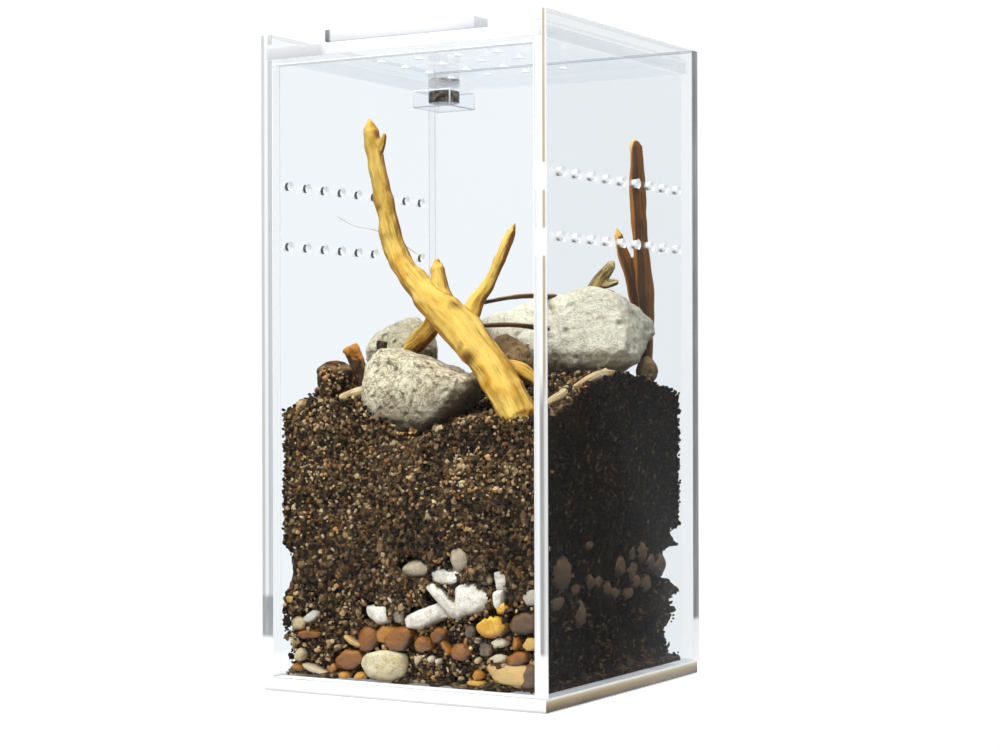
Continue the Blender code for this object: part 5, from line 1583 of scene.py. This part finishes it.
class TERRARIUM_OT_stones(bpy.types.Operator):
    """Washed stones of the drainage layer that show at the walls"""

    bl_idname = "terrarium.stones"
    bl_label = "Drainage stones"

    def execute(self, context):
        settings = context.scene.terrarium_stones
        looks = {
            "amber": (settings.amber, (0.16, 0.050, 0.006), (0.05, 0.017, 0.005), 0.26, 0.06),
            "yellow": (settings.yellow, (0.58, 0.27, 0.025), (0.26, 0.09, 0.012), 0.26, 0.12),
            "cream": (settings.cream, (0.50, 0.40, 0.21), (0.16, 0.09, 0.03), 0.4),
            "white": (settings.white, (0.56, 0.50, 0.40), (0.20, 0.14, 0.08), 0.36),
            "beige": (settings.beige, (0.34, 0.26, 0.17), (0.14, 0.09, 0.05), 0.42),
            "brown": ((0.15, 0.085, 0.045), (0.10, 0.050, 0.022), (0.035, 0.02, 0.012), 0.4),
            # The dull stones at the right wall take dark browns that are partly their own colour and partly
            # painted shade
            "dull": ((0.26, 0.165, 0.095), (0.13, 0.080, 0.048), (0.045, 0.028, 0.017), 0.6, 0.0, 0.0),
        }
        kinds = {kind: stone_finish(f"{kind}_pebble", *look) for kind, look in looks.items()}
        for number, (node, (kind, back, outline)) in enumerate(FRONT_STONES.items()):
            worn = 2 if kind in ("yellow", "brown", "beige") else 1
            mesh = chipped_stone(outline, back, settings.depth / MM, "front", 200 + number, worn=worn)
            piece(f"{node}_washed", mesh, "case", f"{kind}_stone", (kinds[kind],), node)
        for number, node in enumerate(DULL_STONES):
            low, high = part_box(node)
            rng = random.Random(240 + number)
            outline = rough_oval(rng, ((low + high) / 2 / MM).yz, ((high - low) / 2 / MM).yz)
            mesh = chipped_stone(outline, rng.uniform(0.3, 0.6), 4.4, "right", 250 + number)
            piece(f"{node}_washed", mesh, "case", "dull_stone", (kinds["dull"],), node)
        rng = random.Random(270)
        meshes = [
            chipped_stone(
                rough_oval(rng, row[:2], row[2:]), rng.uniform(0.4, 0.6), 3.4, "right", 270 + number)
            for number, row in enumerate(RIGHT_STONES)
        ]
        piece("right_gravel", joined("right_gravel", meshes), "case", "dull_stone", (kinds["dull"],))
        mixed = mixed_stone_finish("mixed_gravel")
        between = [(outline, back, tone) for tone, back, outline in BETWEEN_STONES]
        gravel = (
            ("front", between, 3.6, 300),
            ("left", HEAPS["left"], 3.8, 400),
            ("back", HEAPS["back"], 3.8, 400),
        )
        for side, rows, depth, seed in gravel:
            meshes = [
                chipped_stone(outline, back, depth, side, seed + number, tone)
                for number, (outline, back, tone) in enumerate(rows)
            ]
            piece(f"{side}_gravel", joined(f"{side}_gravel", meshes), "case", "amber_stone", (mixed,))
        return {"FINISHED"}


class TERRARIUM_OT_rocks(bpy.types.Operator):
    """Rocks that stand in the soil"""

    bl_idname = "terrarium.rocks"
    bl_label = "Rocks"

    def execute(self, context):
        grey = rock_finish(
            "grey_rock", (0.97, 0.88, 0.64), (0.82, 0.71, 0.49), (0.10, 0.07, 0.04), low=67 * MM, spots=0.7)
        pale = rock_finish(
            "pale_rock", (0.98, 0.95, 0.78), (0.93, 0.87, 0.67), (0.34, 0.26, 0.15), pit=0.0035, spots=0.12)
        middle = rock_finish(
            "middle_rock", (0.97, 0.92, 0.72), (0.88, 0.79, 0.55), (0.26, 0.17, 0.08), spots=0.3)
        # The brown rock's colours are partly its brown stain and partly painted shade, for a rock that lies
        # in shade behind the branch
        brown = rock_finish("brown_rock", (0.48, 0.32, 0.15), (0.28, 0.17, 0.08), (0.10, 0.055, 0.025))
        for node, voxel, seed, lumps, pits, finish, slot in (
            ("front_rock", 0.42, 31, 0.80, 0.30, grey, "grey_rock"),
            ("middle_rock", 0.40, 41, 0.60, 0.25, middle, "pale_rock"),
            ("brown_rock", 0.40, 51, 0.55, 0.25, brown, "brown_rock"),
            ("pale_rock", 0.50, 61, 0.75, 0.15, pale, "pale_rock"),
            ("small_rock", 0.30, 66, 0.25, 0.20, brown, "grey_rock"),
        ):
            piece(
                f"{node}_weathered", rock_mesh(node, voxel, seed, lumps, pits), "case", slot, (finish,), node)
        return {"FINISHED"}


class TERRARIUM_OT_driftwood(bpy.types.Operator):
    """Driftwood branch with its limbs, broken ends and one loose fibre"""

    bl_idname = "terrarium.driftwood"
    bl_label = "Driftwood"

    def execute(self, context):
        settings = context.scene.terrarium_wood
        pale, gold, brown = (tuple(colour) for colour in (settings.pale, settings.gold, settings.brown))
        # Faces that look up and to the front left are painted pale, a painted highlight, and those that look
        # right and those that look down and left are painted brown, painted shade
        sides = (
            ((-0.3, -0.5, 0.8), 0.5, pale), ((0.85, 0.35, -0.4), 0.95, brown),
            ((-0.7, 0.1, -0.7), 0.7, brown))
        knots = [(scaled(place, MM), reach * MM) for place, reach in KNOTS]
        finish = wood_finish("driftwood", pale, gold, brown, 0.55, sides, knots=knots)
        lines = [through(BRANCH), *(through(rows) for rows in BRANCH_LIMBS.values())]
        mesh = wood_mesh(
            lines, settings.voxel / MM, 81, 0.22, 0.45, [splinter(*row) for row in BRANCH_SPLINTERS])
        piece("driftwood", mesh, "case", "driftwood", (finish,), "driftwood_branch")
        piece("loose_fibre", wood_mesh([through(FIBRE)], 0.05, 84, 0.0, 0.04), "case", "driftwood", (finish,))
        return {"FINISHED"}


class TERRARIUM_OT_twigs(bpy.types.Operator):
    """Dark twig in the back corner, gnarled root, and two thin twigs"""

    bl_idname = "terrarium.twigs"
    bl_label = "Twigs"

    def execute(self, context):
        settings = context.scene.terrarium_wood
        dark = tuple(settings.dark)
        deep = scaled(dark, 0.3)
        # The short limb's tip is orange: a slanting level that only it rises above
        tip = (-33.6 * MM, (0.86, 0.50, 0.12), 6.1)
        # The twig's faces that look left and right are painted lighter brown than its dark, the left ones
        # more: painted light
        sides = ((-0.95, -0.3, 0.0), 0.9, (0.46, 0.18, 0.03)), ((0.95, 0.3, 0.0), 0.6, (0.34, 0.13, 0.025))
        finish = wood_finish("dark_wood", scaled(dark, 1.4), dark, deep, 0.7, sides, tip)
        splinters = [splinter(*row) for row in TWIG_SPLINTERS]
        mesh = wood_mesh([through(TWIG), through(TWIG_LIMB)], 0.28, 91, 0.26, 0.14, splinters)
        piece("dark_twig_bark", mesh, "case", "dark_wood", (finish,), "dark_twig")
        # The root's faces that look down, and those that look to the front left, are painted deep brown:
        # painted shade
        sides = ((0.3, 0.0, -0.9), 0.9, deep), ((-0.7, -0.5, 0.4), 0.6, deep)
        root = wood_finish("root_wood", (0.86, 0.70, 0.34), (0.60, 0.36, 0.10), deep, 0.85, sides)
        mesh = wood_mesh([through(ROOT), *(through(rows) for rows in ROOT_FINGERS)], 0.22, 95, 0.16, 0.22)
        piece("gnarled_root_bark", mesh, "case", "dark_wood", (root,), "gnarled_root")
        lit = (((-0.1, -0.3, 0.95), 0.7, (0.50, 0.32, 0.13)),)
        thin = wood_finish("thin_twig", (0.15, 0.080, 0.035), dark, deep, 0.6, lit)
        for number, (node, rows) in enumerate(THIN_TWIGS.items()):
            mesh = wood_mesh([through(rows)], 0.15, 98 + number, 0.05, 0.10)
            piece(f"{node}_bark", mesh, "case", "dark_wood", (thin,), node)
        return {"FINISHED"}


class TERRARIUM_OT_litter(bpy.types.Operator):
    """Pieces of bark and wood that lie on the soil"""

    bl_idname = "terrarium.litter"
    bl_label = "Litter"

    def execute(self, context):
        settings = context.scene.terrarium_wood
        finish = wood_finish(
            "bleached_wood", (0.86, 0.72, 0.46), (0.66, 0.46, 0.20), tuple(settings.brown), 0.4)
        for number, (node, rows) in enumerate(LITTER.items()):
            mesh = wood_mesh([through(rows)], 0.22, 105 + number, 0.14, 0.20)
            piece(f"{node}_bleached", mesh, "case", "driftwood", (finish,), node)
        light = bark_finish("bark", (0.045, 0.024, 0.013), (0.19, 0.10, 0.045), (77 * MM, (0.62, 0.26, 0.05)))
        dark = bark_finish("dark_bark", (0.030, 0.018, 0.011), (0.11, 0.06, 0.03))
        for number, (node, bark) in enumerate((("bark_piece_1", light), ("bark_piece_2", dark))):
            mesh = rock_mesh(node, 0.26, 120 + number, 0.75, 0.30, 1.6)
            piece(f"{node}_rough", mesh, "case", "bark", (bark,), node)
        return {"FINISHED"}


# The stage


def area_lamp(name, power, size, place, target, colour=(1.0, 1.0, 1.0)):
    """A round lamp that looks at a target, and that glosses don't mirror."""
    lamp = bpy.data.lights.new(name, "AREA")
    lamp.shape, lamp.size, lamp.energy, lamp.color = "DISK", size, power, colour
    obj = add_object(name, lamp)
    obj.location = place
    obj.rotation_euler = (Vector(target) - Vector(place)).to_track_quat("-Z", "Y").to_euler()
    obj.visible_glossy = False


KEY_PLACE = (-0.42, -0.80, 0.75)
# The camera, as fitted to the corners of the case
CAMERA_PLACE = (0.2687, -0.4516, 0.0725)
CAMERA_TURNS = ((30.38, "Z"), (90.07, "X"), (-0.16, "Z"))
CAMERA_LENS = 79.08


class TERRARIUM_OT_stage(bpy.types.Operator):
    """Pale floor, soft studio lamps, a bright room and the camera"""

    bl_idname = "terrarium.stage"
    bl_label = "Stage"

    def backdrop(self, f, settings, kind="ShaderNodeEmission"):
        """White to the eye, dim as a light, and a bright room with one soft window to glosses."""
        dim = f.add(kind, {}, {"Color": (0.93, 0.96, 1.0), "Strength": settings.fill})
        room = f.add(kind, {}, {"Color": (0.97, 0.985, 1.0), "Strength": settings.room})
        if kind == "ShaderNodeBackground":
            facing = f.facing(Vector(KEY_PLACE).normalized(), f.place)
            light = f.add(kind, {}, {"Color": (1.0, 0.98, 0.95), "Strength": settings.window})
            room = f.add("ShaderNodeMixShader", {}, {0: facing.step(0.80, 1.0) ** 2, 1: room, 2: light})
        white = f.add(kind, {}, {"Color": (1.0, 1.0, 1.0), "Strength": 1.02})
        glossy = f.add("ShaderNodeLightPath", {}, {}, "Is Glossy Ray")
        seen = f.add("ShaderNodeLightPath", {}, {}, "Is Camera Ray")
        unseen = f.add("ShaderNodeMixShader", {}, {0: glossy, 1: dim, 2: room})
        return f.add("ShaderNodeMixShader", {}, {0: seen, 1: unseen, 2: white})

    def execute(self, context):
        scene = context.scene
        settings = scene.terrarium_stage
        bm = bmesh.new()
        bmesh.ops.create_circle(bm, cap_ends=True, segments=96, radius=settings.floor)
        floor = add_object("floor", mesh_from(bm, "floor"))
        floor.location.z = -0.2 * MM
        f = Finish("pale_floor")
        far = f.add("ShaderNodeVectorMath", {"operation": "LENGTH"}, {0: f.place}, "Value").step(0.045, 0.085)
        paper = f.principled(
            Base_Color=f.blend(f.noise(0.004), (0.93, 0.93, 0.93), (0.96, 0.96, 0.96)), Roughness=0.7,
            Emission_Color=(1.0, 1.0, 1.0), Emission_Strength=0.30,
        )
        look = f.add("ShaderNodeMixShader", {}, {0: far, 1: paper, 2: self.backdrop(f, settings)})
        floor.data.materials.append(f.done(look))

        world = bpy.data.worlds.new("room")
        scene.world = world
        f = Finish("room", world)
        f.done(self.backdrop(f, settings, "ShaderNodeBackground"))
        area_lamp("key", settings.key, 0.5, KEY_PLACE, (0, 0, 0.07), (1.0, 0.985, 0.96))
        area_lamp("top", settings.top, 0.6, (0.26, -0.30, 0.88), (0, 0, 0.08))

        camera = bpy.data.cameras.new("camera")
        camera.lens, camera.sensor_width, camera.sensor_fit = CAMERA_LENS, 36.0, "HORIZONTAL"
        camera.clip_start, camera.clip_end = 0.01, 20.0
        seat = add_object("camera", camera)
        matrix = Matrix.Translation(CAMERA_PLACE)
        for degrees, axis in CAMERA_TURNS:
            matrix = matrix @ Matrix.Rotation(math.radians(degrees), 4, axis)
        seat.matrix_world = matrix
        scene.camera = seat
        scene.view_settings.view_transform = "Standard"
        scene.cycles.transparent_max_bounces = 40
        scene.cycles.max_bounces = 8
        return {"FINISHED"}


OPERATORS = (
    TERRARIUM_OT_case, TERRARIUM_OT_lid, TERRARIUM_OT_latch, TERRARIUM_OT_soil, TERRARIUM_OT_stones,
    TERRARIUM_OT_rocks, TERRARIUM_OT_driftwood, TERRARIUM_OT_twigs, TERRARIUM_OT_litter, TERRARIUM_OT_stage,
)
GROUPS = {
    "terrarium_acrylic": AcrylicSettings, "terrarium_soil": SoilSettings, "terrarium_stones": StoneSettings,
    "terrarium_wood": WoodSettings, "terrarium_stage": StageSettings,
}


class TERRARIUM_PT_pieces(bpy.types.Panel):
    """Lists the pieces, and their sizes and colours"""

    bl_label = "Terrarium"
    bl_idname = "TERRARIUM_PT_pieces"
    bl_space_type = "VIEW_3D"
    bl_region_type = "UI"
    bl_category = "Terrarium"

    def draw(self, context):
        for name, group in GROUPS.items():
            box = self.layout.box()
            box.label(text=name.split("_")[1].capitalize())
            for key in group.__annotations__:
                box.prop(getattr(context.scene, name), key)
        for operator in OPERATORS:
            self.layout.operator(operator.bl_idname)


def register():
    for group in GROUPS.values():
        bpy.utils.register_class(group)
    for name, group in GROUPS.items():
        setattr(bpy.types.Scene, name, PointerProperty(type=group))
    for each in (*OPERATORS, TERRARIUM_PT_pieces):
        bpy.utils.register_class(each)


def unregister():
    for each in (TERRARIUM_PT_pieces, *reversed(OPERATORS)):
        bpy.utils.unregister_class(each)
    for name in GROUPS:
        delattr(bpy.types.Scene, name)
    for group in reversed(GROUPS.values()):
        bpy.utils.unregister_class(group)


def main():
    register()
    for operator in OPERATORS:
        made = getattr(bpy.ops.terrarium, operator.bl_idname.split(".")[1])()
        if made != {"FINISHED"}:
            raise RuntimeError(f"{operator.bl_label} did not finish")


if __name__ == "__main__":
    main()
